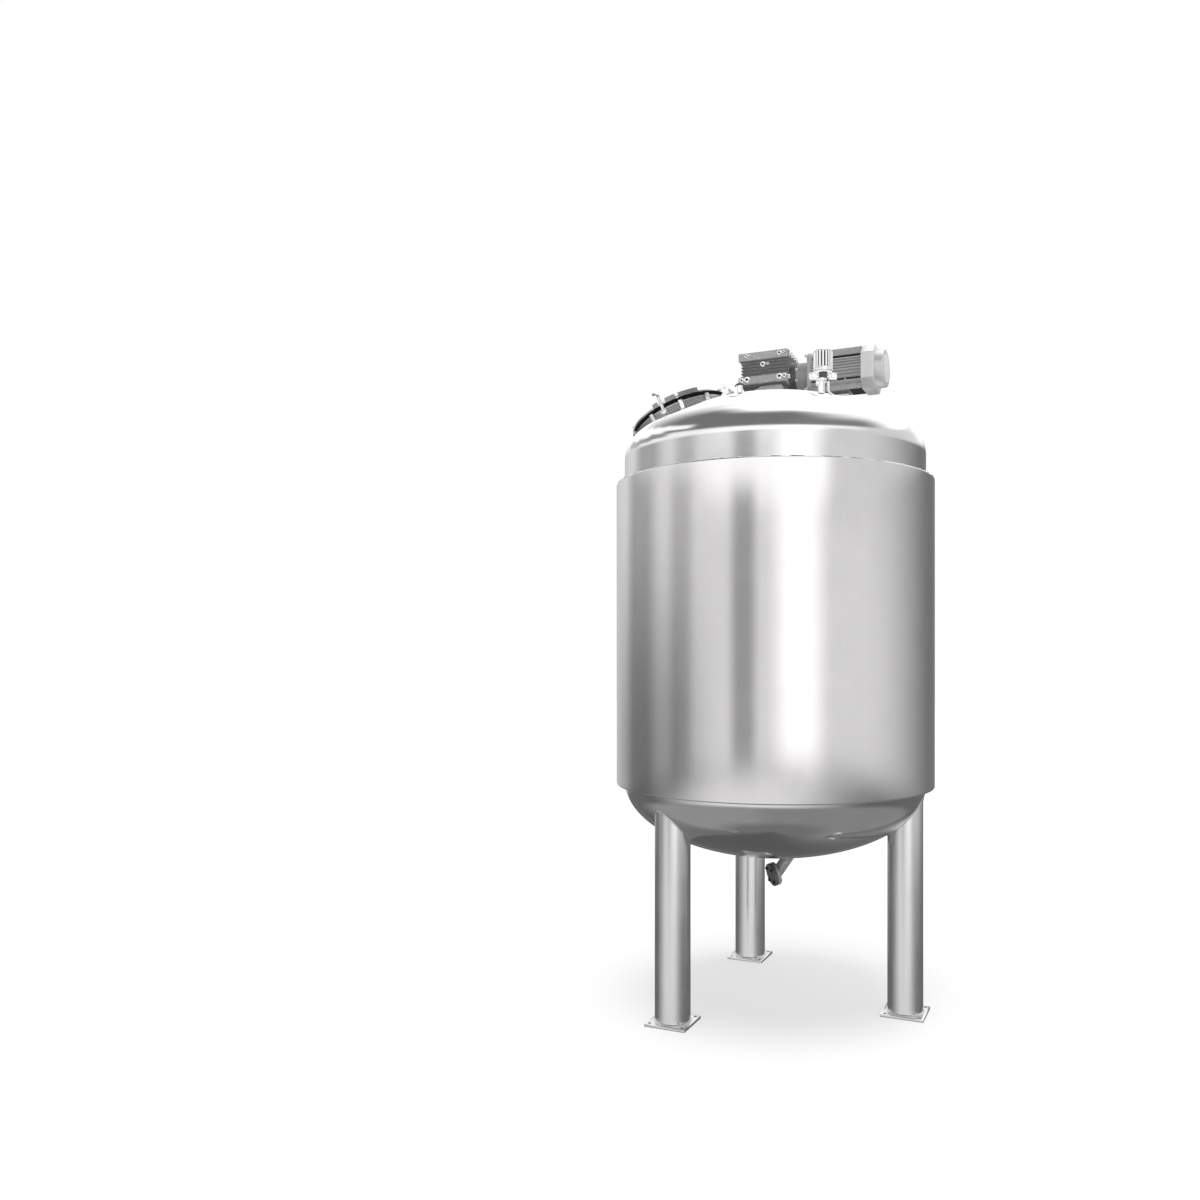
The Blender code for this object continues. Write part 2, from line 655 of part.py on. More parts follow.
def make_agitator():
    shaft = rod(SHAFT_RADIUS, SHAFT_END, GEARBOX_SILL - GAP, ROD_STEPS)
    add_object("agitator_shaft", shaft, steel("agitator_shaft"))
    for name, height in zip(("impeller_lower", "impeller_upper"), IMPELLER_HEIGHTS):
        hub = tube(HUB_RADIUS, SHAFT_RADIUS + GAP, -HUB_HEIGHT / 2, HUB_HEIGHT / 2, ROD_STEPS)
        wheel = add_object(name, hub, steel(name), place=(0.0, 0.0, height))
        for k in range(BLADE_COUNT):
            blade = block((HUB_RADIUS - BLADE_ROOT, -BLADE_THICKNESS / 2, -BLADE_HEIGHT / 2),
                          (IMPELLER_RADIUS, BLADE_THICKNESS / 2, BLADE_HEIGHT / 2))
            pitch = Matrix.Rotation(BLADE_PITCH, 4, 'X')
            turn = Matrix.Rotation(2 * math.pi * k / BLADE_COUNT, 4, 'Z')
            bmesh.ops.transform(blade, matrix=turn @ pitch, verts=blade.verts)
            guide = add_object(f"{name}_blade_{k}", blade, place=(0.0, 0.0, height))
            join = wheel.modifiers.new(f"blade_{k}", 'BOOLEAN')
            join.operation = 'UNION'
            join.solver = 'EXACT'
            join.object = guide


def make_breather(cutters):
    """A pipe on the head, a clamp round its joint, a slotted body and a thin tube beside it."""
    place = BREATHER_PLACE
    bore = BREATHER_PIPE_RADIUS - PIPE_WALL
    pipe = tube(BREATHER_PIPE_RADIUS, bore, CUT_LOW, BREATHER_PIPE_TOP - GAP, TUBE_STEPS)
    pipe = add_object("breather_pipe", pipe, steel("breather_pipe"), place=place)
    cut(pipe, cutters["above"])

    low = BREATHER_PIPE_TOP
    high = BREATHER_CLAMP_TOP - GAP
    radius = BREATHER_CLAMP_RADIUS
    rim = radius - CLAMP_BEVEL
    clamp = turned([(0.0, low), (rim, low), (radius, low + CLAMP_BEVEL),
                    (radius, high - CLAMP_BEVEL), (rim, high), (0.0, high)], FLANGE_STEPS)
    add_object("breather_clamp", clamp, steel("breather_clamp"), place=place)
    lug = block((radius + GAP, -CLAMP_LUG_HALF, low + CLAMP_BEVEL),
                (radius + CLAMP_LUG_LENGTH, CLAMP_LUG_HALF, high - CLAMP_BEVEL))
    add_object("clamp_lug", lug, steel("clamp_lug"), place=place, rotation=(0, 0, FITTING_BEARING))

    bm = bmesh.new()
    base = [bm.verts.new((x, y, BREATHER_CLAMP_TOP)) for x, y in slotted_round()]
    body = pushed(bm, [bm.faces.new(base)], (0.0, 0.0, BREATHER_TOP - BREATHER_CLAMP_TOP))
    add_object("breather_body", body, steel("breather_body"), place=place)
    make_balance_tube(cutters)


def slotted_round():
    """A round outline with upright slots all the way round."""
    outline = []
    floor = 1.0 - BREATHER_SLOT_DEPTH
    for k in range(BREATHER_SLOTS):
        for share, depth in ((0.0, 1.0), (0.45, 1.0), (0.5, floor), (0.95, floor)):
            angle = 2 * math.pi * (k + share) / BREATHER_SLOTS
            reach = depth * BREATHER_RADIUS
            outline.append((reach * math.cos(angle), reach * math.sin(angle)))
    return outline


def make_balance_tube(cutters):
    """From under the clamp down to the head, splayed outward at its foot."""
    outward = Vector((math.cos(FITTING_BEARING), math.sin(FITTING_BEARING), 0.0))
    route = ((0.0, BREATHER_PIPE_TOP - GAP),) + BALANCE_TUBE_ROUTE
    start = BREATHER_PLACE + outward * BALANCE_TUBE_OFFSET
    points = [start + outward * splay + Vector((0.0, 0.0, z)) for splay, z in route]
    line = bent_bar("balance_tube", points, BALANCE_TUBE_RADIUS)
    bar = bpy.data.objects.new("balance_tube_line", line)
    bm = bmesh.new()
    bm.from_mesh(bpy.data.meshes.new_from_object(bar))
    bpy.data.objects.remove(bar)
    cut(add_object("balance_tube", bm, steel("balance_tube")), cutters["above"])


def make_vent(cutters):
    nozzle = tube(VENT_RADIUS, VENT_RADIUS - PIPE_WALL, CUT_LOW, VENT_TOP - GAP, TUBE_STEPS)
    nozzle = add_object("vent_nozzle", nozzle, steel("vent_nozzle"), place=VENT_PLACE)
    cut(nozzle, cutters["above"])
    cap = block((-VENT_CAP_HALF, -VENT_CAP_DEPTH, VENT_TOP),
                (VENT_CAP_HALF, VENT_CAP_DEPTH, VENT_CAP_TOP), VENT_CAP_BEVEL)
    add_object("vent_wing_cap", cap, cast_metal("vent_wing_cap"), place=VENT_PLACE,
               rotation=(0, 0, FITTING_BEARING))


def outlet_rotation(fall):
    """Point +Z along the outlet's bearing, falling by an angle below the level."""
    level = math.cos(fall)
    direction = Vector((level * math.cos(OUTLET_BEARING), level * math.sin(OUTLET_BEARING),
                        -math.sin(fall)))
    return direction.to_track_quat('Z', 'Y').to_euler()


def make_outlet(cutters):
    """An inclined pipe cut square to its flange, the flange, and a blank bolted over it."""
    flange_turn = outlet_rotation(OUTLET_FLANGE_FALL)
    thickness = OUTLET_FLANGE_THICKNESS
    pipe = tube(OUTLET_PIPE_RADIUS, OUTLET_BORE, -OUTLET_PIPE_UPPER, OUTLET_PIPE_LOWER, ROD_STEPS)
    pipe = add_object("outlet_pipe", pipe, steel("outlet_pipe"), place=OUTLET_FACE,
                      rotation=outlet_rotation(OUTLET_FALL))
    reach = OUTLET_PIPE_UPPER
    beyond = block((-reach, -reach, -GAP), (reach, reach, reach))
    beyond = add_object("outlet_trim", beyond, place=OUTLET_FACE, rotation=flange_turn)
    cut(pipe, cutters["below"], beyond)

    flange = tube(OUTLET_FLANGE_RADIUS, OUTLET_FLANGE_BORE, 0.0, thickness, FLANGE_STEPS)
    add_object("outlet_flange", flange, steel("outlet_flange"), place=OUTLET_FACE,
               rotation=flange_turn)
    blank = turned(disc(thickness + GAP, 2 * thickness, OUTLET_FLANGE_RADIUS), FLANGE_STEPS)
    add_object("outlet_blank", blank, cast_metal("outlet_blank"), place=OUTLET_FACE,
               rotation=flange_turn)


def main():
    clear_scene()
    cutters = make_cutters()
    make_vessel(cutters)
    make_jacket()
    make_legs(cutters)
    make_manway(cutters)
    make_gearbox(cutters)
    make_motor()
    make_agitator()
    make_breather(cutters)
    make_vent(cutters)
    make_outlet(cutters)


main()
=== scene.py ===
"""Looks of a jacketed stainless steel mixing tank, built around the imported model.

Metres, +Z up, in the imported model's own frame: the origin is on the floor, on the vessel's
axis, the motor points along +X, and the manway lies on the -X side of the top head.
"""
import math

import bmesh
import bpy
from mathutils import Matrix, Vector


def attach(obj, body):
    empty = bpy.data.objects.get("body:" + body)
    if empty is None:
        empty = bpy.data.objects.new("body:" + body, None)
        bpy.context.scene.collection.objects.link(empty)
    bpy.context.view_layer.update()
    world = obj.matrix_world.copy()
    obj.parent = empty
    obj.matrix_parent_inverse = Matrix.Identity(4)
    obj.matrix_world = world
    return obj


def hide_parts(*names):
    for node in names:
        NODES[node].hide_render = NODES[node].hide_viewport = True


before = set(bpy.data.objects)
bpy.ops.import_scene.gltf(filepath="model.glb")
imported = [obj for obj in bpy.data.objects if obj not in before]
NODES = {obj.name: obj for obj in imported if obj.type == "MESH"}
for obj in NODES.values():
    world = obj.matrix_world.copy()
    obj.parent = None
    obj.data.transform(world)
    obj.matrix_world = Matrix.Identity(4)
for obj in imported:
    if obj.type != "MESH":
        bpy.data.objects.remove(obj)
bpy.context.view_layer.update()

TURN = 2 * math.pi
UP = Vector((0.0, 0.0, 1.0))
ORIGIN = (0.0, 0.0)

# Sides of a round shape, from the vessel's wall to a screw.
FINE = 256
ROUND = 144
MEDIUM = 96
TUBE = 72
PAD = 64
PIPE = 48
COARSE = 32
SMALL = 16

# Clearance between two pieces, and the fillet of a cutter's rims.
GAP = 0.0003
CUT_EDGE = 0.001

# Edges that turn by more than this stay sharp.
SHARP_ANGLE = math.radians(32.0)

# Vessel and jacket.
VESSEL_RADIUS = 0.711
VESSEL_WALL = 0.007
SHELL_BOTTOM = 1.027
SHELL_TOP = 2.548
DISH_RADIUS = 1.235
KNUCKLE_RADIUS = 0.160
BOTTOM_DEPTH = 0.348
HEAD_GAP = 0.0004
JACKET_RADIUS = 0.750
JACKET_SHEET = 0.003
JACKET_BOTTOM = 1.017
JACKET_TOP = 2.435
JACKET_ROUNDING = 0.006
SHAFT_HOLE = 0.029
SEAM_RISE = 0.0001

# Weld marks along the jacket's rim, from one bearing to another, and how the row repeats.
RIM_MARKS = ((-105.0, -103.8), (-100.9, -99.2), (-98.4, -96.0), (-92.1, -90.3), (-89.7, -87.6),
             (-84.4, -82.6), (-73.5, -70.0), (-67.6, -62.7), (-57.5, -50.1), (-48.5, -42.8),
             (-38.4, -34.5), (-26.1, -25.0))
RIM_MARK_TURNS = (0.0, 90.0, 180.0, 270.0)
RIM_MARK_RADIUS = 0.0028
RIM_MARK_END = 0.0012
RIM_MARK_INSET = 0.0035

# The top head's sphere, and where it meets the knuckle.
KNUCKLE_CENTRE = VESSEL_RADIUS - KNUCKLE_RADIUS
DISH_HALF_ANGLE = math.asin(KNUCKLE_CENTRE / (DISH_RADIUS - KNUCKLE_RADIUS))
DISH_CENTRE = SHELL_TOP - (DISH_RADIUS - KNUCKLE_RADIUS) * math.cos(DISH_HALF_ANGLE)

# Legs. Their circle is centred a little to the motor's side.
LEG_CENTRE = Vector((0.0115, 0.0, 0.0))
LEG_CIRCLE = 0.615
LEG_RADIUS = 0.0795
LEG_WALL = 0.005
LEG_ANGLES = (0.0, 120.0, 240.0)
PLATE_SIDE = 0.192
PLATE_THICKNESS = 0.012
PLATE_HOLE_PITCH = 0.154
PLATE_HOLE_RADIUS = 0.008
PLATE_EDGE = 0.0012
LEG_WELD = 0.0035
FOOT_WELD = 0.0045

# Manway.
MANWAY_CENTRE = Vector((-0.478, 0.0, 2.808))
MANWAY_TILT = math.radians(22.5)
NECK_RADIUS = 0.246
NECK_BORE = 0.225
SEAL_RADIUS = 0.2535
SEAL_BORE = 0.228
SEAL_THICKNESS = 0.016
COVER_RADIUS = 0.250
COVER_RIM = 0.013
COVER_RISE = 0.045
COVER_PLATE = 0.006
COVER_DISH = 0.190
COVER_STEP = 0.205
DISH_STEPS = 16
DISH_POWER = 2.2
NECK_WELD = 0.008
NECK_EDGE = 0.001
NECK_BEADS = (0.012, 0.021, 0.030, 0.039)
NECK_BEAD_RADIUS = 0.0032
HINGE_REACH = 0.276
HINGE_HEIGHT = 0.014
HINGE_PIN_RADIUS = 0.006
HINGE_PIN_HALF = 0.062
HINGE_PLATE = 0.012
HINGE_SLACK = 0.0025
LUG_OFFSET = 0.050
LUG_RADIUS = 0.014
LUG_LEVELS = (-0.040, -0.020, -0.012)
ARM_OFFSET = 0.030
ARM_RADIUS = 0.012
ARM_START = 0.215
ARM_HEIGHT = 0.010
HANDLE_PLACE = -0.228
HANDLE_BAR = 0.007
HANDLE_HALF = 0.060
HANDLE_HEIGHT = 0.045
HANDLE_BEND = 0.018

# Round the manway, by the angle from its downhill side: bars on the neck, raised strips along
# the cover's rim, and one long bolt that passes the seal.
NECK_BARS = (5.0, 41.0, 77.0, 112.0, 143.0, 217.0, 248.0, 283.0, 319.0)
NECK_BAR_HALF = 0.0095
NECK_BAR_DEPTH = 0.018
NECK_BAR_FOOT = -0.064
NECK_BAR_TAPER = 0.30
RIM_STRIPS = ((81.5, 88.0), (97.0, 109.0), (112.5, 135.5))
RIM_STRIP_HEIGHT = 0.024
RIM_STRIP_RADIUS = 0.253
LONG_BOLT = 92.5
LONG_BOLT_LENGTH = 0.078
BOLT_CIRCLE = 0.2655
BOLT_RADIUS = 0.0085
BOLT_PIVOT = -0.034
EAR_APART = 0.0115
EYE_RADIUS = 0.013
EYE_HALF = 0.006
CRANK_RADIUS = 0.0035
BALL_RADIUS = 0.0075
BALL_PLACE = (0.004, -0.017, 0.022)
CRANK = ((0.0, 0.0, 0.009), (0.004, -0.006, 0.015), (0.004, -0.015, 0.020))

# Drive.
GEARBOX_LEFT = -0.145
GEARBOX_RIGHT = 0.098
GEARBOX_HALF = 0.090
GEARBOX_SILL = 2.916
GEARBOX_WAIST = 2.952
GEARBOX_SHOULDER = 3.027
GEARBOX_TOP = 3.065
GEARBOX_RIBS = 5
GEARBOX_RIB_DEPTH = 0.008
GEARBOX_INSET = 0.012
RIB_PROFILE = ((0.0, 0.0), (0.30, 0.0), (0.38, 0.1), (0.44, 0.9), (0.52, 1.0), (0.84, 1.0),
               (0.92, 0.9), (0.97, 0.1))
MOTOR_AXIS_Z = 2.942
INPUT_END = 0.130
INPUT_RADIUS = 0.074
ADAPTER_END = 0.190
ADAPTER_RADIUS = 0.068
SHIELD_END = 0.208
SHIELD_RADIUS = 0.090
SHIELD_FLAT = 0.80
MOTOR_END = 0.443
MOTOR_CORE = 0.078
MOTOR_RADIUS = 0.092
MOTOR_FINS = 7
MOTOR_FIN_PITCH = 0.0139
MOTOR_FIN_CENTRE = 0.0063
MOTOR_FIN_HALF = 0.0034
COWL_END = 0.501
COWL_RADIUS = 0.101
COWL_FLAT = 0.57
CAP_END = 0.541
CAP_RADIUS = 0.086
MOTOR_FOOT = ((0.288, -0.050, 2.832), (0.378, 0.050, 2.8497))
FOOT_BAR_BACK = -0.012
FOOT_STRIP = (-0.047, -0.016)
# Half width of the dark plates of painted shade under the motor.
UNDERSIDE_HALF = 0.053
# Dark discs of painted shade on the end cap, where its holes are: how many to a ring, their radius,
# and each ring's inset.
CAP_HOLES = 36
CAP_HOLE_RADIUS = 0.0026
CAP_HOLE_RINGS = (0.0085, 0.0175)
INPUT_BOLTS = 8
INPUT_BOLT_INSET = 0.0085
SHIELD_BOLT_INSET = 0.012
SLIT_SCREWS = ((0.060, 0.046), (-0.0462, 0.060))
SLIT_SCREW_PLACE = 0.366
SLIT_SCREW_RADIUS = 0.0045
STOOL_FOOT = 2.877
STOOL_TAPER = 0.94
OFF_FACE = 0.0002

# Half widths and heights over the motor's axis, upward: the sole and ledge below the fins,
# then the ledge and pad above them.
MOTOR_SOLE = ((0.0550, -0.0920), (0.0550, -0.0670), (0.0470, -0.0650), (0.0470, -0.0615),
              (0.0705, -0.0600), (0.0745, -0.0510), (0.0600, -0.0500))
MOTOR_PAD = ((0.0420, 0.0655), (0.0615, 0.0665), (0.0640, 0.0690), (0.0620, 0.0785),
             (0.0450, 0.0795), (0.0450, 0.1030))
# Outlines of the dark plates of painted shade in the slits above and below the fins.
MOTOR_SLITS = (((0.0587, 0.0545), (0.0475, 0.0650), (0.0602, 0.0655)),
               ((0.0610, -0.0490), (0.0676, -0.0405), (0.0720, -0.0470)))

# Bolts on the gearbox's sides: place along it, height, and the head's radius.
CASTING_BOLTS = ((-0.103, 3.049, 0.0090), (-0.086, 3.050, 0.0050), (0.060, 3.046, 0.0110),
                 (0.079, 3.048, 0.0070), (-0.126, 2.936, 0.0110), (-0.100, 2.937, 0.0140),
                 (0.060, 2.937, 0.0140), (0.084, 2.938, 0.0100))

# Bolts on the gearbox's ends, on both sides of its middle, with their heights and radii, and two
# screws among the ribs in front.
END_BOLT_OUT = 0.060
LEFT_BOLT = (2.934, 0.011)
RIGHT_BOLT_LEVELS = (3.046, 2.936)
RIGHT_BOLT_RADIUS = 0.009
RIB_SCREWS = ((-0.023, 0.0125), (0.001, 0.006))
RIB_SCREW_LEVEL = 3.004

# Fittings on the top head.
BREATHER_PLACE = Vector((0.3445, -0.3824, 0.0))
BREATHER_PIPE_RADIUS = 0.0145
BREATHER_PIPE_SHIFT = -0.0075
BREATHER_PAD_RADIUS = 0.058
BREATHER_RING = (2.801, 2.817)
BREATHER_PLATE = 2.8445
CLAMP_RADIUS = 0.023
CLAMP_LUG = ((-0.0345, -0.030, 2.782), (-0.0195, -0.015, 2.800))
THROAT_RADIUS = 0.019
THROAT_WAIST = 0.017
NUT_BAR_RADIUS = 0.005
BREATHER_BODY = 2.859
BREATHER_NUTS = (-0.044, 0.041)
BREATHER_NUT_HEIGHT = 2.826
BREATHER_TOP = 2.936
BREATHER_RADIUS = 0.041
BREATHER_SLOTS = 18
SLOT_PROFILE = ((0.00, 0.98), (0.05, 1.0), (0.45, 1.0), (0.50, 0.98), (0.53, 0.88), (0.97, 0.88))
# Dark strips of painted shade in the body's slots: their half width, and how far out they stand as
# a share of the body's radius.
SLOT_HALF = 0.0027
SLOT_FLOOR = 0.872
WING_NUT = (0.0185, 0.004, 0.016)
BALANCE_TUBE_RADIUS = 0.0055
BALANCE_TUBE_OFFSET = 0.023
BALANCE_TUBE_ROUTE = ((0.0, 2.806), (0.0, 2.762), (0.016, 2.748))
FITTING_BEARING = math.radians(23.6)
VENT_PLACE = Vector((0.0, -0.480, 0.0))
VENT_RADIUS = 0.0125
VENT_PAD_RADIUS = 0.046
VENT_TOP = 2.800
VENT_CAP_RADIUS = 0.0135
VENT_WING_REACH = 0.0205
VENT_WING_RISE = 0.016
# The dark line on each pad, a painted reflection of the fitting on the head: its radius and steps,
# and where it starts past the fitting's bearing and how far it runs, in degrees.
REFLECTION_LINE_RADIUS = 0.0016
REFLECTION_LINE_STEPS = 24
REFLECTION_LINE_START = 170
REFLECTION_LINE_SPAN = 80

# Of a round plate on the top head, from its rim inward: shares of its radius, and rises.
PAD_PROFILE = ((1.0, 0.0004), (1.0, 0.0028), (0.985, 0.0036), (0.6, 0.0036), (0.3, 0.0036))

# How far a pipe's foot spreads in its weld on the top head, and its rise over the head.
PIPE_FLARE = ((0.005, 0.0004), (0.00225, 0.0029), (0.00075, 0.0064), (0.0, 0.0114))

# Bottom outlet.
OUTLET_FACE = Vector((0.020, -0.005, 0.584))
OUTLET_BEARING = math.radians(220)
OUTLET_FALL = math.radians(52)
OUTLET_FLANGE_FALL = math.radians(14)
OUTLET_PIPE_RADIUS = 0.027
OUTLET_BORE = 0.0235
OUTLET_FLANGE_RADIUS = 0.055
OUTLET_FLANGE_THICKNESS = 0.016
OUTLET_FLANGE_BORE = 0.0275
OUTLET_BOLT_CIRCLE = 0.041
OUTLET_WELD = 0.003

# Camera: the photograph's frame is 1200 pixels wide, and its lens axis meets it at a pixel.
IMAGE_SIZE = 1200
FOCAL_PIXELS = 990
AXIS_PIXEL_X = 665.5
AXIS_PIXEL_Y = 658
CAMERA_PLACE = (1.430, -4.563, 1.614)
CAMERA_TURN = math.radians(23.6)
SENSOR = 36.0

# Studio light, as panels on a sphere around the tank. Each one has the compass bearing of its
# middle, its half width and soft edge, its lowest and highest elevation with a soft edge for
# each, all in degrees, and its brightness. Later panels lie over earlier ones.
PANELS = (
    ("upper dome", 0, 180, 1, 29, 3, 90, 1, 1.50),
    ("light overhead", 0, 180, 1, 84, 30, 90, 1, 4.00),
    ("wall light strip", 0, 180, 1, 17, 3, 25, 4, 1.28),
    ("wall light strip, near side", -75, 35, 25, 15.5, 4, 25, 3, 1.46),
    ("grey wall on the right", 32, 24, 22, 8, 6, 26, 4, 0.90),
    ("wall under the strip, right", 5, 30, 16, 12, 3, 18, 3, 0.86),
    ("dark wall on the right", 76, 4, 82, -90, 1, 12, 3, 0.21),
    ("softbox", -55, 4, 20, -16, 6, 25, 3, 1.58),
    ("left post", -93, 3, 10, -90, 1, 13, 3, 0.43),
    ("left door", -140, 3, 11, -90, 1, 13, 4, 0.60),
    ("left corner", 178, 7, 18, -90, 1, 12, 4, 0.50),
    ("ceiling", -112, 60, 90, 30, 4, 64, 38, 0.24),
    ("ceiling over the right", -20, 20, 42, 30, 4, 36, 18, 0.28),
    ("rim on the far left", 150, 8, 10, 17, 3, 20, 3, 0.60),
    ("rim on the left", 166, 8, 10, 20, 3, 23, 3, 0.50),
    ("rim by the skylight", -178, 8, 14, 23, 3, 29, 3, 0.38),
    ("skylight", -164, 14, 12, 35, 3, 39, 5, 1.45),
    ("skylight, lower left", 174, 8, 10, 31, 3, 37, 3, 1.45),
    ("skylight, left", 158, 8, 8, 27, 3, 34, 3, 1.45),
    ("skylight, far left", 143, 6, 8, 23, 3, 29, 3, 1.40),
    ("dim wall round the legs", 0, 180, 1, -40, 10, -13, 4, 0.17),
    ("light on the legs", -90, 10, 84, -40, 10, -13, 4, 1.02),
    ("floor", 0, 180, 1, -90, 1, -30, 8, 0.31),
    ("floor on the left", -145, 40, 40, -72, 10, -32, 8, 0.38),
    ("floor below", 0, 180, 1, -90, 1, -78, 16, 0.22),
    ("floor behind", 120, 16, 44, -90, 1, -30, 10, 0.13),
)
# Shades that dim what lies under them, in the same order.
SHADES = (
    ("left side, low", -175, 22, 50, -11, 2, -8, 22, 0.45),
)
WALL_BRIGHTNESS = 0.93
STUDIO_STRENGTH = 1.27

# Floor paint and glow, and the lamp over it.
FLOOR_PAINT = 0.16
FLOOR_PATCHES = 0.01
FLOOR_GLOW = 0.66
FLOOR_HALF = 30.0
LAMP_HEIGHT = 6.0
LAMP_SPREAD = 34
LAMP_STRENGTH = 5.0
LAMP_TURN = (math.radians(8.0), math.radians(1.0), 0.0)

# Grain of a finish: how finely its noise is drawn out along X, Y and Z.
LEVEL = (6.0, 6.0, 900.0)
UPRIGHT = (700.0, 700.0, 8.0)
EVEN = (260.0, 260.0, 260.0)
GRAIN_DEPTH = 0.0003

# Each finish: its material, its slot in the record, its darkest and lightest shade, its roughness
# and how far that varies, its grain, and what else differs from a plain metal.
FINISH_TABLE = {
    "vessel": ("vessel_steel", "vessel_steel", 0.655, 0.70, 0.12, 0.025, LEVEL,
               {"bump": 0.03, "wave": 0.00007}),
    "jacket": ("jacket_steel", "jacket_steel", (0.670, 0.655, 0.660), (0.705, 0.690, 0.695),
               0.11, 0.02, UPRIGHT, {"bump": 0.03, "wave": 0.00006}),
    "leg": ("leg_steel", "leg_steel", 0.66, 0.72, 0.24, 0.03, UPRIGHT, {"bump": 0.05}),
    "weld": ("weld_steel", "vessel_steel", 0.66, 0.80, 0.30, 0.08, EVEN,
             {"bump": 0.4, "spot_scale": 60.0}),
    "fitting": ("fitting_steel", "fitting_steel", 0.72, 0.78, 0.18, 0.05, EVEN, {"bump": 0.05}),
    "agitator": ("agitator_steel", "agitator_steel", 0.58, 0.64, 0.22, 0.05, EVEN, {}),
    "seal": ("seal_rubber", "seal_rubber", 0.004, 0.008, 0.70, 0.08, EVEN,
             {"metallic": 0.0, "specular": 0.12}),
    "casting": ("drive_casting", "drive_casting", 0.03, 0.16, 0.45, 0.08, EVEN,
                {"metallic": 0.4, "bump": 0.5, "spot_scale": 110.0}),
    "ribs": ("ribbed_iron", "drive_casting", 0.10, 0.22, 0.42, 0.06, EVEN,
             {"metallic": 0.4, "bump": 0.4, "spot_scale": 90.0}),
    "flange": ("flange_casting", "drive_casting", 0.30, 0.56, 0.42, 0.06, EVEN,
               {"metallic": 0.45, "bump": 0.45, "spot_scale": 100.0}),
    "motor": ("motor_casting", "motor_casting", 0.34, 0.50, 0.45, 0.06, EVEN,
              {"metallic": 0.3, "bump": 0.25, "spot_scale": 70.0}),
    "neck": ("motor_neck", "motor_casting", (0.27, 0.26, 0.26), (0.40, 0.38, 0.38), 0.50, 0.05,
             EVEN, {"metallic": 0.2, "bump": 0.25, "spot_scale": 80.0}),
    "cowl": ("cowl_paint", "cowl_paint", (0.66, 0.66, 0.67), (0.71, 0.71, 0.72), 0.38, 0.03, EVEN,
             {"metallic": 0.5, "bump": 0.05}),
    "neck_ring": ("neck_steel", "vessel_steel", 0.42, 0.56, 0.36, 0.06, LEVEL, {"bump": 0.3}),
    "bright": ("bright_steel", "fitting_steel", 0.86, 0.93, 0.24, 0.05, EVEN,
               {"metallic": 0.75, "bump": 0.08}),
    "strip": ("rim_steel", "vessel_steel", 0.30, 0.40, 0.40, 0.06, EVEN,
              {"bump": 0.3, "spot_scale": 40.0}),
    "bolt": ("bolt_zinc", "fitting_steel", 0.78, 0.88, 0.26, 0.06, EVEN, {}),
    "drain": ("drain_pipe_steel", "vessel_steel", 0.20, 0.42, 0.50, 0.08, EVEN,
              {"metallic": 0.4, "bump": 0.4, "spot_scale": 120.0}),
    # Near black, for painted shade: discs for the cap's holes and in the sockets, strips in the
    # breather's slots, plates under the motor and in its slits. The drain's bolts are this black
    # too.
    "dark": ("painted_shade_and_black_bolts", "drive_casting", 0.006, 0.015, 0.60, 0.08, EVEN,
             {"metallic": 0.0, "specular": 0.2}),
}


class Tree:
    """Short calls for adding linked nodes to a material or a world."""

    def __init__(self, tree):
        self.tree = tree
        tree.nodes.clear()

    def add(self, kind, *values, inputs=(), **settings):
        """A node with its first inputs in order, others by name or number, and its settings."""
        node = self.tree.nodes.new(kind)
        for key, value in settings.items():
            setattr(node, key, value)
        for key, value in [*enumerate(values), *dict(inputs).items()]:
            self.feed(node.inputs[key], value)
        return node

    def feed(self, socket, value):
        if value is None:
            return
        if isinstance(value, bpy.types.NodeSocket):
            self.tree.links.new(value, socket)
        else:
            socket.default_value = value

    def math(self, operation, *values):
        return self.add("ShaderNodeMath", *values, operation=operation).outputs[0]

    def ramp(self, value, start, end, low=0.0, high=1.0):
        """Ease a value from one range to another, held at both ends."""
        node = self.add("ShaderNodeMapRange", value, start, end, low, high,
                        interpolation_type='SMOOTHSTEP')
        return node.outputs[0]

    def noise(self, place, scale, detail=2.0, roughness=0.5):
        node = self.add("ShaderNodeTexNoise", inputs={
            "Vector": place, "Scale": scale, "Detail": detail, "Roughness": roughness})
        return node.outputs[0]

    def bump(self, strength, distance, height, normal=None):
        node = self.add("ShaderNodeBump", inputs={
            "Strength": strength, "Distance": distance, "Height": height, "Normal": normal})
        return node.outputs[0]

    def blend(self, share, low, high):
        node = self.add("ShaderNodeMix", share, inputs={2: low, 3: high}, data_type='FLOAT')
        return node.outputs[0]

    def mix_colour(self, share, low, high):
        node = self.add("ShaderNodeMix", share, inputs={6: (*low, 1.0), 7: (*high, 1.0)},
                        data_type='RGBA')
        return node.outputs[2]


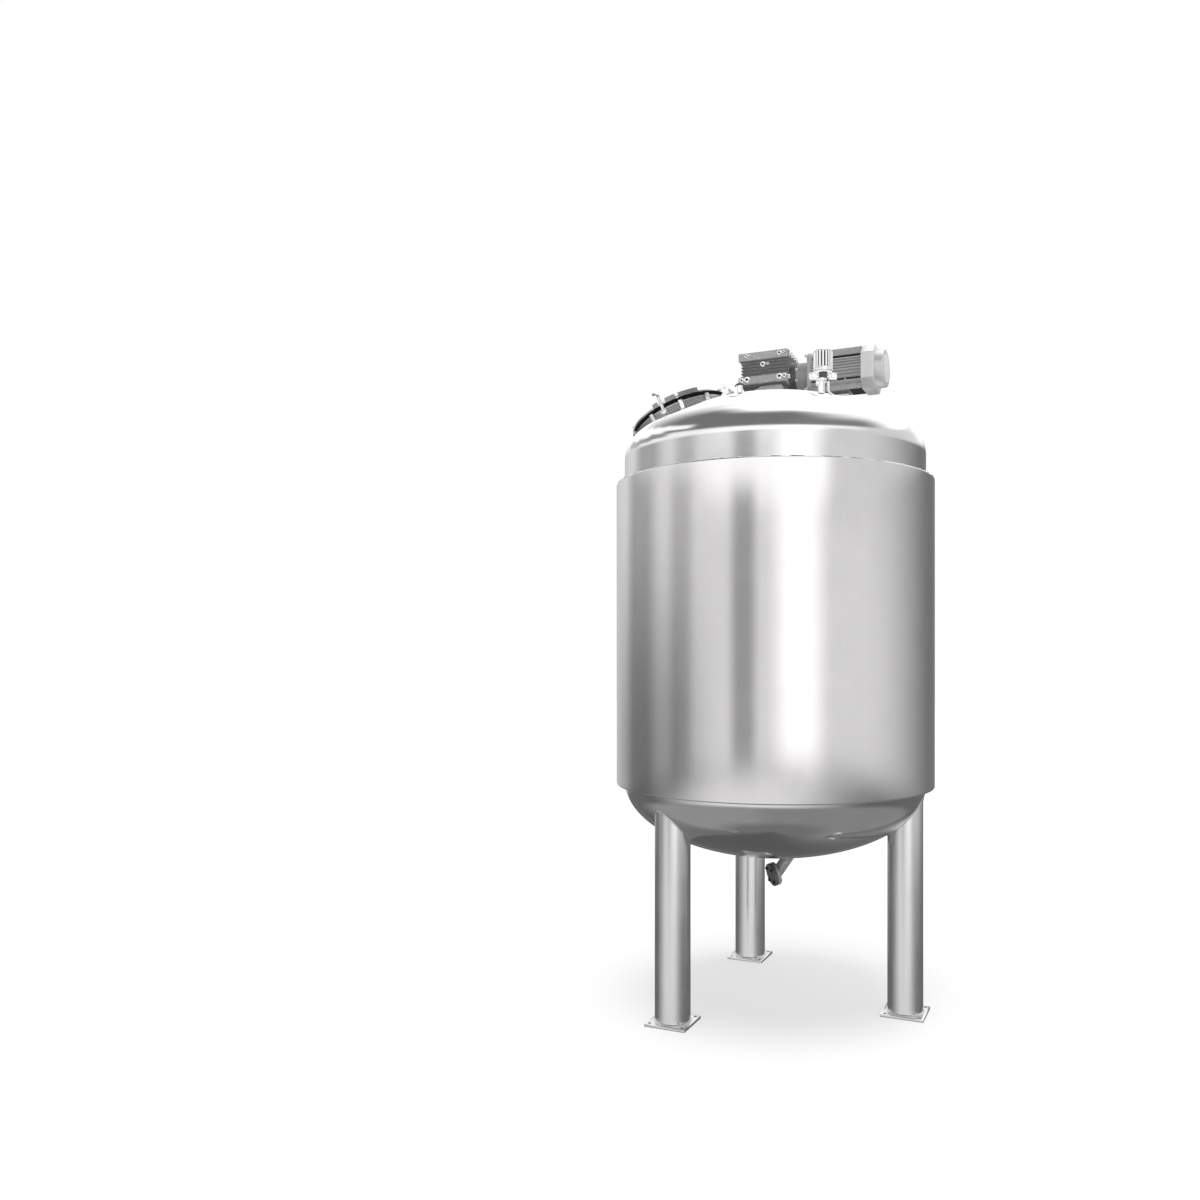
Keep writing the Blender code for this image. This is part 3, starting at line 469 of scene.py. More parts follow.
def make_world():
    world = bpy.data.worlds.new("studio")
    bpy.context.scene.world = world
    world.use_nodes = True
    tree = Tree(world.node_tree)
    ray = tree.add("ShaderNodeTexCoord").outputs["Generated"]
    height = tree.add("ShaderNodeSeparateXYZ", ray).outputs[2]
    elevation = tree.math('MULTIPLY', tree.math('ARCSINE', height), math.degrees(1))
    level = tree.add("ShaderNodeVectorMath", ray, (1.0, 1.0, 0.0), operation='MULTIPLY').outputs[0]
    level = tree.add("ShaderNodeVectorMath", level, operation='NORMALIZE').outputs[0]
    light = WALL_BRIGHTNESS
    for _, *place, brightness in PANELS:
        light = tree.blend(panel_mask(tree, level, elevation, *place), light, brightness)
    for _, *place, brightness in SHADES:
        dimming = tree.blend(panel_mask(tree, level, elevation, *place), 1.0, brightness)
        light = tree.math('MULTIPLY', light, dimming)
    studio = tree.add("ShaderNodeBackground", None, tree.math('MULTIPLY', light, STUDIO_STRENGTH))
    plain = tree.add("ShaderNodeBackground", (1.0, 1.0, 1.0, 1.0), 1.0)
    seen = tree.add("ShaderNodeLightPath").outputs["Is Camera Ray"]
    both = tree.add("ShaderNodeMixShader", seen, studio.outputs[0], plain.outputs[0])
    tree.add("ShaderNodeOutputWorld", both.outputs[0])


def panel_mask(tree, level, elevation, bearing, half, side_edge, low, low_edge, high, high_edge):
    """How much of a panel lies in a direction, from 0 to 1."""
    angle = math.radians(bearing)
    towards = (math.cos(angle), math.sin(angle), 0.0)
    near = tree.add("ShaderNodeVectorMath", level, towards, operation='DOT_PRODUCT')
    apart = tree.math('MULTIPLY', tree.math('ARCCOSINE', near.outputs["Value"]), math.degrees(1))
    across = tree.ramp(apart, half, half + side_edge, 1.0, 0.0)
    above = tree.ramp(elevation, low - low_edge, low)
    below = tree.ramp(elevation, high, high + high_edge, 1.0, 0.0)
    return tree.math('MULTIPLY', across, tree.math('MULTIPLY', above, below))


def placed(name, data):
    """A new object in the scene."""
    made = bpy.data.objects.new(name, data)
    bpy.context.scene.collection.objects.link(made)
    return made


def baked(name, bm):
    """A new object whose mesh is a bmesh, which this uses up."""
    mesh = bpy.data.meshes.new(name)
    bm.to_mesh(mesh)
    bm.free()
    return placed(name, mesh)


def new_material(name):
    made = bpy.data.materials.new(name)
    made.use_nodes = True
    return made, Tree(made.node_tree)


def make_camera():
    lens = bpy.data.cameras.new("camera")
    lens.sensor_width = SENSOR
    lens.lens = SENSOR * FOCAL_PIXELS / IMAGE_SIZE
    lens.shift_x = 0.5 - AXIS_PIXEL_X / IMAGE_SIZE
    lens.shift_y = AXIS_PIXEL_Y / IMAGE_SIZE - 0.5
    made = placed("camera", lens)
    made.location = CAMERA_PLACE
    made.rotation_euler = (math.pi / 2, 0.0, CAMERA_TURN)
    bpy.context.scene.camera = made


def make_stage():
    """A pale floor, with a lamp of its own that gives the soft shadow under the tank."""
    bpy.context.scene.view_settings.view_transform = 'Standard'
    bpy.context.scene.cycles.use_denoising = True
    bm = bmesh.new()
    bmesh.ops.create_grid(bm, x_segments=1, y_segments=1, size=FLOOR_HALF)
    floor = baked("floor", bm)
    floor.visible_glossy = False
    paint, tree = new_material("floor_paint")
    place = tree.add("ShaderNodeTexCoord").outputs["Object"]
    shade = tree.mix_colour(tree.noise(place, 2.0), (FLOOR_PAINT,) * 3,
                            (FLOOR_PAINT + FLOOR_PATCHES,) * 3)
    matt = tree.add("ShaderNodeBsdfDiffuse", shade)
    glow = tree.add("ShaderNodeEmission", (1.0, 1.0, 1.0, 1.0), FLOOR_GLOW)
    both = tree.add("ShaderNodeAddShader", matt.outputs[0], glow.outputs[0])
    tree.add("ShaderNodeOutputMaterial", both.outputs[0])
    floor.data.materials.append(paint)
    lamp = bpy.data.lights.new("overhead", 'SUN')
    lamp.angle = math.radians(LAMP_SPREAD)
    lamp.energy = LAMP_STRENGTH
    light = placed("overhead", lamp)
    light.location = (0.0, 0.0, LAMP_HEIGHT)
    light.rotation_euler = LAMP_TURN
    light.visible_glossy = False
    lit = bpy.data.collections.new("lit_by_the_lamp")
    lit.objects.link(floor)
    light.light_linking.receiver_collection = lit


def surface(name, low, high, roughness, spread, grain, metallic=1.0, bump=0.10, wave=0.0,
            spot_scale=9.0, specular=0.5):
    """A finish whose colour and gloss vary, with a grain stretched by a scale on each axis."""
    made, tree = new_material(name)
    place = tree.add("ShaderNodeTexCoord").outputs["Object"]
    stretched = tree.add("ShaderNodeVectorMath", place, grain, operation='MULTIPLY').outputs[0]
    streaks = tree.noise(stretched, 1.0, 3.0, 0.6)
    clouds = tree.noise(place, spot_scale, 3.0, 0.55)
    both = tree.math('ADD', tree.math('MULTIPLY', streaks, 0.5), tree.math('MULTIPLY', clouds, 0.5))
    swell = tree.bump(1.0, wave, tree.noise(place, 5.0, 1.0, 0.4)) if wave > 0.0 else None
    shader = tree.add("ShaderNodeBsdfPrincipled", inputs={
        "Base Color": tree.mix_colour(tree.ramp(both, 0.3, 0.7), low, high),
        "Metallic": metallic,
        "Roughness": tree.ramp(both, 0.25, 0.75, roughness - spread, roughness + spread),
        "Specular IOR Level": specular,
        "Normal": tree.bump(bump, GRAIN_DEPTH, streaks, swell)})
    tree.add("ShaderNodeOutputMaterial", shader.outputs[0])
    return made


def make_finishes():
    made = {}
    for key, (name, _, low, high, roughness, spread, grain, extra) in FINISH_TABLE.items():
        low, high = ((shade,) * 3 if isinstance(shade, float) else shade for shade in (low, high))
        made[key] = surface(name, low, high, roughness, spread, grain, **extra)
    return made


def piece(name, bm, finish, *nodes, body="tank", mirrored=True):
    """Turn a bmesh into a named piece on a body, in place of the CAD nodes that are named."""
    bmesh.ops.recalc_face_normals(bm, faces=bm.faces)
    made = baked(name, bm)
    made.data.materials.append(FINISHES[finish])
    made.data.shade_smooth()
    made.data.set_sharp_from_angle(angle=SHARP_ANGLE)
    if nodes:
        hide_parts(*nodes)
    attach(made, body)
    made.visible_glossy = mirrored
    return made


def unmirrored(name, bm, finish, *nodes):
    """A piece on the tank that polished steel doesn't mirror."""
    return piece(name, bm, finish, *nodes, mirrored=False)


def circle(radius, steps):
    """Points of a flat circle about the origin."""
    return [(radius * math.cos(TURN * k / steps), radius * math.sin(TURN * k / steps))
            for k in range(steps)]


def join(bm, one, two):
    """Faces between two rings with equal numbers of corners."""
    for k in range(len(one)):
        n = (k + 1) % len(one)
        bm.faces.new((one[k], one[n], two[n], two[k]))


def skin(rings, wrapped=False, capped=False):
    """A surface through rings of places, back to the first ring or capped at both ends."""
    bm = bmesh.new()
    loops = [[bm.verts.new(place) for place in ring] for ring in rings]
    for one, two in zip(loops, loops[1:]):
        join(bm, one, two)
    if wrapped:
        join(bm, loops[-1], loops[0])
    if capped:
        bm.faces.new(loops[0][::-1])
        bm.faces.new(loops[-1])
    return bm


def push(bm, faces, step):
    """Extrude flat faces by a step."""
    pushed = bmesh.ops.extrude_face_region(bm, geom=faces)
    corners = [v for v in pushed["geom"] if isinstance(v, bmesh.types.BMVert)]
    bmesh.ops.translate(bm, verts=corners, vec=step)
    return bm


def extruded(corners, step):
    """A flat outline of places pushed by a step."""
    bm = bmesh.new()
    return push(bm, [bm.faces.new([bm.verts.new(place) for place in corners])], step)


def soften(bm, edges, offset, segments):
    """Round edges that are given."""
    bmesh.ops.bevel(bm, geom=edges, offset=offset, segments=segments, affect='EDGES', profile=0.5)
    return bm


def lathe(outline, steps=MEDIUM):
    """Spin a closed outline of (radius, height) points about Z."""
    bm = bmesh.new()
    rings = []
    for radius, height in outline:
        places = circle(radius, steps) if radius >= 1e-6 else [(0.0, 0.0)]
        rings.append([bm.verts.new((x, y, height)) for x, y in places])
    for low, high in zip(rings, rings[1:] + rings[:1]):
        for k in range(steps):
            corners = [low[k % len(low)], low[(k + 1) % len(low)],
                       high[(k + 1) % len(high)], high[k % len(high)]]
            corners = list(dict.fromkeys(corners))
            if len(corners) > 2:
                bm.faces.new(corners)
    return bm


def rounded(outline, fillets, steps=4):
    """Round each corner of a closed flat outline by its own radius."""
    made = []
    count = len(outline)
    for k, radius in enumerate(fillets):
        here = Vector(outline[k])
        if radius <= 0.0:
            made.append(tuple(here))
            continue
        back = (Vector(outline[k - 1]) - here).normalized()
        ahead = (Vector(outline[(k + 1) % count]) - here).normalized()
        half = back.angle(ahead) / 2
        centre = here + (back + ahead).normalized() * radius / math.sin(half)
        start = here + back * radius / math.tan(half) - centre
        end = here + ahead * radius / math.tan(half) - centre
        turn = math.pi - 2 * half
        for s in range(steps + 1):
            a = turn * s / steps
            arm = (start * math.sin(turn - a) + end * math.sin(a)) / math.sin(turn)
            made.append(tuple(centre + arm))
    return made


def arc(centre, radius, start, end, steps):
    """Points of a flat arc between two angles in degrees."""
    angles = [math.radians(start + (end - start) * s / steps) for s in range(steps + 1)]
    return [(centre[0] + radius * math.cos(a), centre[1] + radius * math.sin(a)) for a in angles]


def round_plate(radius, low, high, edge, steps=MEDIUM):
    """A solid disc with rounded rims."""
    outline = [(0.0, low), (radius, low), (radius, high), (0.0, high)]
    return lathe(rounded(outline, (0.0, edge, edge, 0.0)), steps)


def round_tube(outer, inner, low, high, edge, steps=MEDIUM):
    outline = [(inner, low), (outer, low), (outer, high), (inner, high)]
    return lathe(rounded(outline, (edge,) * 4, 3), steps)


def prism(outline, start, end, edge=0.0, segments=3):
    """Push a closed outline of (y, z) points along X, with its two rims rounded."""
    bm = extruded([(start, y, z) for y, z in outline], (end - start, 0.0, 0.0))
    if edge > 0.0:
        rims = [e for e in bm.edges if abs(e.verts[0].co.x - e.verts[1].co.x) < 1e-6]
        soften(bm, rims, edge, segments)
    return bm


def block(low, high, edge, segments=3):
    """A box with every edge rounded."""
    bm = bmesh.new()
    size = Vector(high) - Vector(low)
    middle = (Vector(high) + Vector(low)) / 2
    shape = Matrix.Translation(middle) @ Matrix.Diagonal((*size, 1.0))
    bmesh.ops.create_cube(bm, size=1.0, matrix=shape)
    return soften(bm, bm.edges[:], edge, segments)


def sweep(points, radius, sides=12, closed=False):
    """A round bar along a line of points, capped if it is open; the radius may be a list."""
    points = [Vector(p) for p in points]
    count = len(points)
    radii = radius if isinstance(radius, (list, tuple)) else [radius] * count
    bm = bmesh.new()
    rings = []
    across = None
    for k, here in enumerate(points):
        before = points[k - 1] if k or closed else here
        after = points[(k + 1) % count] if k + 1 < count or closed else here
        ahead = (after - before).normalized()
        if across is None:
            across = ahead.orthogonal().normalized()
        across = (across - ahead * across.dot(ahead)).normalized()
        other = ahead.cross(across)
        rings.append([bm.verts.new(here + (across * math.cos(TURN * s / sides)
                                           + other * math.sin(TURN * s / sides)) * radii[k])
                      for s in range(sides)])
    for one, two in zip(rings, rings[1:]):
        join(bm, one, two)
    if closed:
        last, first = rings[-1], rings[0]
        shift = min(range(sides), key=lambda s: (last[s].co - first[0].co).length)
        join(bm, last[shift:] + last[:shift], first)
    else:
        bm.faces.new(rings[0][::-1])
        bm.faces.new(rings[-1])
    return bm


def bend(points, radius, steps=6):
    """Round the inner corners of a line of points in space."""
    made = [Vector(points[0])]
    for before, here, after in zip(points, points[1:], points[2:]):
        here = Vector(here)
        back = (Vector(before) - here).normalized()
        ahead = (Vector(after) - here).normalized()
        half = back.angle(ahead) / 2
        reach = radius / math.tan(half)
        start, end = here + back * reach, here + ahead * reach
        for s in range(steps + 1):
            t = s / steps
            made.append(start * (1 - t) ** 2 + here * 2 * t * (1 - t) + end * t ** 2)
    made.append(Vector(points[-1]))
    return made


def merge(bm, part, matrix=None):
    """Add one bmesh to another, moved by a matrix if one is given."""
    if matrix is not None:
        bmesh.ops.transform(part, matrix=matrix, verts=part.verts)
    bmesh.ops.recalc_face_normals(part, faces=part.faces)
    mesh = bpy.data.meshes.new("part")
    part.to_mesh(mesh)
    part.free()
    bm.from_mesh(mesh)
    bpy.data.meshes.remove(mesh)
    return bm


def moved(bm, matrix):
    bmesh.ops.transform(bm, matrix=matrix, verts=bm.verts)
    return bm


def carve(bm, cutters):
    """Cut closed bmeshes out of a closed bmesh, exactly."""
    objects = []
    for number, shape in enumerate([bm] + cutters):
        bmesh.ops.recalc_face_normals(shape, faces=shape.faces)
        objects.append(baked(f"carving_{number}", shape))
    for cutter in objects[1:]:
        step = objects[0].modifiers.new(cutter.name, 'BOOLEAN')
        step.operation = 'DIFFERENCE'
        step.solver = 'EXACT'
        step.object = cutter
    ready = objects[0].evaluated_get(bpy.context.evaluated_depsgraph_get())
    result = bmesh.new()
    result.from_mesh(ready.data)
    for made in objects:
        mesh = made.data
        bpy.data.objects.remove(made, do_unlink=True)
        bpy.data.meshes.remove(mesh)
    return result


def pointing(place, direction):
    """A matrix that takes +Z to a direction, at a place."""
    turn = Vector(direction).to_track_quat('Z', 'Y').to_matrix().to_4x4()
    return Matrix.Translation(place) @ turn


def hexagon(across, low, high, chamfer=0.0015):
    """A six-sided head or nut with its top corners cut back."""
    radius = across / math.sqrt(3)
    outline = [(0.0, low), (radius, low), (radius, high - chamfer), (radius - chamfer, high),
               (0.0, high)]
    return lathe(outline, 6)


def bolt(across, height, stub=0.0):
    """A washer, a head or nut, and the end of the thread if it is given a length."""
    bm = round_plate(across * 0.62, 0.0, across * 0.12, across * 0.03, COARSE)
    merge(bm, hexagon(across, across * 0.12, height))
    if stub > 0.0:
        merge(bm, round_plate(across * 0.30, height, height + stub, across * 0.05, SMALL))
    return bm


def head_distance(point):
    """How far a point is outside the top head's outer surface."""
    radius = math.hypot(point.x, point.y)
    rise = point.z - DISH_CENTRE
    if rise > 0.0 and math.atan2(radius, rise) < DISH_HALF_ANGLE:
        return math.hypot(radius, rise) - DISH_RADIUS
    if point.z > SHELL_TOP:
        return math.hypot(radius - KNUCKLE_CENTRE, point.z - SHELL_TOP) - KNUCKLE_RADIUS
    return radius - VESSEL_RADIUS


def follow(point, direction, clear, reach):
    """Go from a point along a direction for as long as a test of the place holds."""
    near, far = 0.0, reach
    for _ in range(40):
        middle = (near + far) / 2
        if clear(point + direction * middle):
            near = middle
        else:
            far = middle
    return point + direction * near


def drop_to_head(point, direction, reach=0.6):
    """Where a direction from a point outside the top head meets the head."""
    return follow(point, direction, lambda spot: head_distance(spot) > 0.0, reach)


def on_head(place, x, y, rise):
    """A point over the top head's surface, by its distance from a place in plan."""
    above = Vector((place.x + x, place.y + y, BREATHER_TOP))
    return drop_to_head(above, -UP) + UP * rise


def top_head_line(offset, knuckle_steps, dish_steps):
    half = math.degrees(DISH_HALF_ANGLE)
    knuckle = arc((KNUCKLE_CENTRE, SHELL_TOP), KNUCKLE_RADIUS + offset, 0, 90 - half,
                  knuckle_steps)
    dish = arc((0.0, DISH_CENTRE), DISH_RADIUS + offset, 90 - half, 90, dish_steps)
    dish[-1] = (0.0, dish[-1][1])
    return knuckle + dish[1:]


def bottom_head_line(offset, steps):
    points = []
    for step in range(steps + 1):
        angle = math.pi / 2 * step / steps
        normal = Vector((math.cos(angle) / VESSEL_RADIUS, math.sin(angle) / BOTTOM_DEPTH))
        normal.normalize()
        points.append((VESSEL_RADIUS * math.cos(angle) + offset * normal.x,
                       SHELL_BOTTOM - BOTTOM_DEPTH * math.sin(angle) - offset * normal.y))
    points[-1] = (0.0, points[-1][1])
    return points


def bottom_height(x, y):
    """Height of the bottom head's outer surface over a point of the floor."""
    share = math.hypot(x, y) / VESSEL_RADIUS
    return SHELL_BOTTOM - BOTTOM_DEPTH * math.sqrt(max(1.0 - share ** 2, 0.0))


def below_head(spot):
    return spot.z <= bottom_height(spot.x, spot.y) - HEAD_GAP


def make_vessel():
    inside = VESSEL_RADIUS - VESSEL_WALL
    wall = lathe([(inside, SHELL_BOTTOM + GAP), (VESSEL_RADIUS, SHELL_BOTTOM + GAP),
                  (VESSEL_RADIUS, SHELL_TOP - GAP), (inside, SHELL_TOP - GAP)], FINE)
    piece("shell", wall, "vessel", "vessel_shell")

    head = lathe(top_head_line(0.0, 28, 36) + top_head_line(-VESSEL_WALL, 12, 16)[::-1], FINE)
    tilt = Matrix.Translation(MANWAY_CENTRE) @ Matrix.Rotation(-MANWAY_TILT, 4, 'Y')
    holes = [moved(round_plate(NECK_BORE, -0.2, 0.2, CUT_EDGE), tilt),
             round_plate(SHAFT_HOLE, 2.7, 2.95, CUT_EDGE, COARSE)]
    for place, radius in ((BREATHER_PLACE, BREATHER_PIPE_RADIUS), (VENT_PLACE, VENT_RADIUS)):
        hole = round_plate(radius - 0.002, 2.6, 2.9, CUT_EDGE, COARSE)
        holes.append(moved(hole, Matrix.Translation(place)))
    piece("head", carve(head, holes), "vessel", "top_head")

    proud = VESSEL_RADIUS + SEAM_RISE
    seam = [(VESSEL_RADIUS - 0.001, SHELL_TOP - 0.002), (proud, SHELL_TOP - 0.0015),
            (proud, SHELL_TOP), (proud - 0.00001, SHELL_TOP + 0.0015),
            (VESSEL_RADIUS - 0.001, SHELL_TOP + 0.002)]
    piece("head_seam", lathe(seam, FINE), "vessel")

    foot = lathe(bottom_head_line(0.0, 48) + bottom_head_line(-VESSEL_WALL, 24)[::-1], FINE)
    hole = moved(round_plate(OUTLET_BORE, -0.25, 0.1, CUT_EDGE, COARSE), outlet_frame(OUTLET_FALL))
    piece("dished_foot", carve(foot, [hole]), "vessel", "bottom_head")


def make_jacket():
    outer, inner = JACKET_RADIUS, JACKET_RADIUS - JACKET_SHEET
    root = VESSEL_RADIUS + GAP
    low, high = JACKET_BOTTOM, JACKET_TOP
    roll = JACKET_ROUNDING
    fold = roll - JACKET_SHEET
    outline = [(root, low), (outer, low), (outer, high), (root, high),
               (root, high - JACKET_SHEET), (inner, high - JACKET_SHEET),
               (inner, low + JACKET_SHEET), (root, low + JACKET_SHEET)]
    outline = rounded(outline, (0.0, roll, roll, 0.0, 0.0, fold, fold, 0.0), 8)
    piece("jacket", lathe(outline, FINE), "jacket", "jacket_wall", "jacket_top_ring",
          "jacket_bottom_ring")
    marks = bmesh.new()
    for turn in RIM_MARK_TURNS:
        for start, end in RIM_MARKS:
            line = arc(ORIGIN, outer - RIM_MARK_INSET, start + turn, end + turn, 6)
            merge(marks, sweep([(x, y, high - 0.0004) for x, y in line],
                               [RIM_MARK_END] + [RIM_MARK_RADIUS] * 5 + [RIM_MARK_END], 10))
    piece("rim_marks", marks, "weld")


def make_legs():
    half = PLATE_SIDE / 2
    for number, degrees in enumerate(LEG_ANGLES, start=1):
        angle = math.radians(degrees)
        foot = LEG_CENTRE + Vector((math.cos(angle), math.sin(angle), 0.0)) * LEG_CIRCLE
        rings = []
        for radius, top in ((LEG_RADIUS, False), (LEG_RADIUS, True), (LEG_RADIUS - LEG_WALL, True),
                            (LEG_RADIUS - LEG_WALL, False)):
            ring = [foot + Vector((x, y, PLATE_THICKNESS + GAP)) for x, y in circle(radius, TUBE)]
            if top:
                for spot in ring:
                    spot.z = bottom_height(spot.x, spot.y) - HEAD_GAP
            rings.append(ring)
        piece(f"pipe_leg_{number}", skin(rings, wrapped=True), "leg", f"leg_{number}")
        bead = [foot + Vector((x, y, PLATE_THICKNESS + 0.001))
                for x, y in circle(LEG_RADIUS + 0.001, TUBE)]
        weld = merge(sweep(rings[1], LEG_WELD, 10, closed=True),
                     sweep(bead, FOOT_WELD, 10, closed=True))
        unmirrored(f"leg_welds_{number}", weld, "weld")

        plate = block((-half, -half, 0.0), (half, half, PLATE_THICKNESS), PLATE_EDGE, 2)
        out = PLATE_HOLE_PITCH / 2
        holes = [moved(round_plate(PLATE_HOLE_RADIUS, -0.01, 0.03, CUT_EDGE, COARSE),
                       Matrix.Translation((x, y, 0.0))) for x in (-out, out) for y in (-out, out)]
        plate = moved(carve(plate, holes), Matrix.Translation(foot))
        piece(f"foot_plate_{number}", plate, "leg", f"base_plate_{number}")


def on_manway(degrees, radius, height):
    """A point in the manway's frame, by its angle from the downhill side."""
    angle = math.radians(degrees)
    return Vector((-radius * math.cos(angle), -radius * math.sin(angle), height))


def make_manway():
    tilt = Matrix.Translation(MANWAY_CENTRE) @ Matrix.Rotation(-MANWAY_TILT, 4, 'Y')
    down = tilt.to_3x3() @ -UP
    rim = -SEAL_THICKNESS / 2 - GAP
    rings = []
    for radius, height in ((NECK_RADIUS, None), (NECK_RADIUS, rim - NECK_EDGE),
                           (NECK_RADIUS - NECK_EDGE, rim), (NECK_BORE + NECK_EDGE, rim),
                           (NECK_BORE, rim - NECK_EDGE), (NECK_BORE, None)):
        ring = [tilt @ Vector((x, y, height or rim)) for x, y in circle(radius, ROUND)]
        if height is None:
            ring = [drop_to_head(place, down) - down * GAP for place in ring]
        rings.append(ring)
    piece("neck", skin(rings, wrapped=True), "neck_ring", "manway_neck")
    piece("neck_weld", sweep(rings[0], NECK_WELD, 12, closed=True), "fitting")
    bands = bmesh.new()
    for drop in NECK_BEADS:
        bead = arc((NECK_RADIUS - NECK_EDGE, rim - drop), NECK_BEAD_RADIUS, -70, 70, 6)
        merge(bands, lathe(bead, ROUND))
    piece("neck_beads", moved(bands, tilt), "strip")

    thick = SEAL_THICKNESS / 2
    outline = [(SEAL_BORE, -thick), (SEAL_RADIUS, -thick), (SEAL_RADIUS, thick),
               (SEAL_BORE, thick)]
    ring = lathe(rounded(outline, (0.003, 0.006, 0.006, 0.003), 5), ROUND)
    piece("seal", moved(ring, tilt), "seal", "manway_seal")

    make_cover(tilt)
    make_hinge(tilt)
    make_swing_bolts(tilt)


def make_cover(tilt):
    base = SEAL_THICKNESS / 2 + GAP
    top = base + COVER_RIM
    dome = []
    for s in range(DISH_STEPS + 1):
        radius = COVER_DISH * (1 - s / DISH_STEPS)
        drop = (COVER_RISE - COVER_RIM - COVER_PLATE) * (radius / COVER_DISH) ** DISH_POWER
        dome.append((radius, base + (COVER_RISE - drop)))
    under = [(radius, height - COVER_PLATE) for radius, height in reversed(dome[1:])]
    rim = rounded([(COVER_DISH, base), (COVER_RADIUS, base), (COVER_RADIUS, top),
                   (COVER_STEP, top), (COVER_DISH, top + COVER_PLATE)],
                  (0.0, 0.002, 0.004, 0.006, 0.0), 4)
    outline = rim[:-1] + dome + under
    piece("cover_plate", moved(lathe(outline, ROUND), tilt), "vessel", "manway_cover", body="cover")

    foot = top + GAP
    peak = top + HANDLE_HEIGHT
    half = HANDLE_HALF
    route = bend([(HANDLE_PLACE, -half, foot), (HANDLE_PLACE, -half, peak),
                  (HANDLE_PLACE, half, peak), (HANDLE_PLACE, half, foot)], HANDLE_BEND, 8)
    piece("handle", moved(sweep(route, HANDLE_BAR, 20), tilt), "fitting", "cover_handle",
          body="cover")


def flat_plate(outline, hole, radius, middle):
    """A plate in the XZ plane with a round hole."""
    bm = bmesh.new()
    edges = []
    for loop in (outline, [(hole[0] + x, hole[1] + z) for x, z in circle(radius, 24)]):
        corners = [bm.verts.new((x, middle - HINGE_PLATE / 2, z)) for x, z in loop]
        edges += [bm.edges.new(pair) for pair in zip(corners, corners[1:] + corners[:1])]
    filled = bmesh.ops.triangle_fill(bm, edges=edges, use_beauty=True)
    faces = [f for f in filled["geom"] if isinstance(f, bmesh.types.BMFace)]
    return push(bm, faces, (0.0, HINGE_PLATE, 0.0))


def make_hinge(tilt):
    pin = Matrix.Translation((HINGE_REACH, 0.0, HINGE_HEIGHT))
    pin = pin @ Matrix.Rotation(math.pi / 2, 4, 'X')
    rod = round_plate(HINGE_PIN_RADIUS, -HINGE_PIN_HALF, HINGE_PIN_HALF, 0.001, COARSE)
    piece("hinge_rod", moved(rod, tilt @ pin), "bright", "hinge_pin")
    centre = (HINGE_REACH, HINGE_HEIGHT)
    seat = NECK_RADIUS + GAP
    foot, heel, head = LUG_LEVELS
    lug = [(seat, foot), (HINGE_REACH + LUG_RADIUS / 2, heel)]
    lug += arc(centre, LUG_RADIUS, 0, 180, 16)
    lug += [(SEAL_RADIUS + HINGE_SLACK, head), (seat, head)]
    base = SEAL_THICKNESS / 2 + COVER_RIM + 2 * GAP
    top = base + ARM_HEIGHT
    arm = [(ARM_START, base), (ARM_START, top), (HINGE_REACH - 0.010, top)]
    arm += arc(centre, ARM_RADIUS, 90, -180, 20)
    arm += [(COVER_RADIUS + HINGE_SLACK, HINGE_HEIGHT + 0.004), (COVER_RADIUS + HINGE_SLACK, base)]
    for side, name in ((-1, "near"), (1, "far")):
        plate = flat_plate(lug, centre, HINGE_PIN_RADIUS + GAP, side * LUG_OFFSET)
        unmirrored(f"lug_{name}", moved(plate, tilt), "bright", f"hinge_lug_{name}")
        plate = flat_plate(arm, centre, HINGE_PIN_RADIUS + 0.001, side * ARM_OFFSET)
        piece(f"arm_{name}", moved(plate, tilt), "bright", f"hinge_arm_{name}", body="cover")


def neck_bar():
    """A short upright bar on the neck, thicker at its top."""
    top = -SEAL_THICKNESS / 2 - 0.0015
    half, depth = NECK_BAR_HALF, NECK_BAR_DEPTH
    outline = ((-half, GAP), (half, GAP), (half, depth), (-half, depth))
    bm = skin([[(max(x * reach, GAP), y, height) for y, x in outline]
               for height, reach in ((top, 1.0), (NECK_BAR_FOOT, NECK_BAR_TAPER))], capped=True)
    bmesh.ops.recalc_face_normals(bm, faces=bm.faces)
    return soften(bm, bm.edges[:], 0.0015, 2)


def make_swing_bolts(tilt):
    """Bars round the neck, raised strips round the cover's rim, and the long bolt."""
    bars = bmesh.new()
    for degrees in NECK_BARS:
        turn = Matrix.Rotation(math.radians(degrees + 180.0), 4, 'Z')
        place = tilt @ Matrix.Translation(on_manway(degrees, NECK_RADIUS, 0.0)) @ turn
        merge(bars, neck_bar(), place)
    piece("neck_bars", bars, "bright")

    low = SEAL_THICKNESS / 2 + GAP
    strips = bmesh.new()
    for start, end in RIM_STRIPS:
        for first, last in ((start, end), (-end, -start)):
            merge(strips, rim_strip(first, last, low, low + RIM_STRIP_HEIGHT))
    piece("rim_strips", moved(strips, tilt), "strip", body="cover")

    turn = Matrix.Rotation(math.radians(LONG_BOLT + 180.0), 4, 'Z')
    place = tilt @ Matrix.Translation(on_manway(LONG_BOLT, BOLT_CIRCLE, BOLT_PIVOT)) @ turn
    piece("long_bolt", moved(long_bolt(), place), "bright", body="cover")
    piece("long_bolt_knob", moved(knob(), place), "strip", body="cover")
    ears = bmesh.new()
    for side in (-1, 1):
        merge(ears, ear(), place @ Matrix.Translation((0.0, side * EAR_APART, 0.0)))
    piece("bolt_ears", ears, "bright")


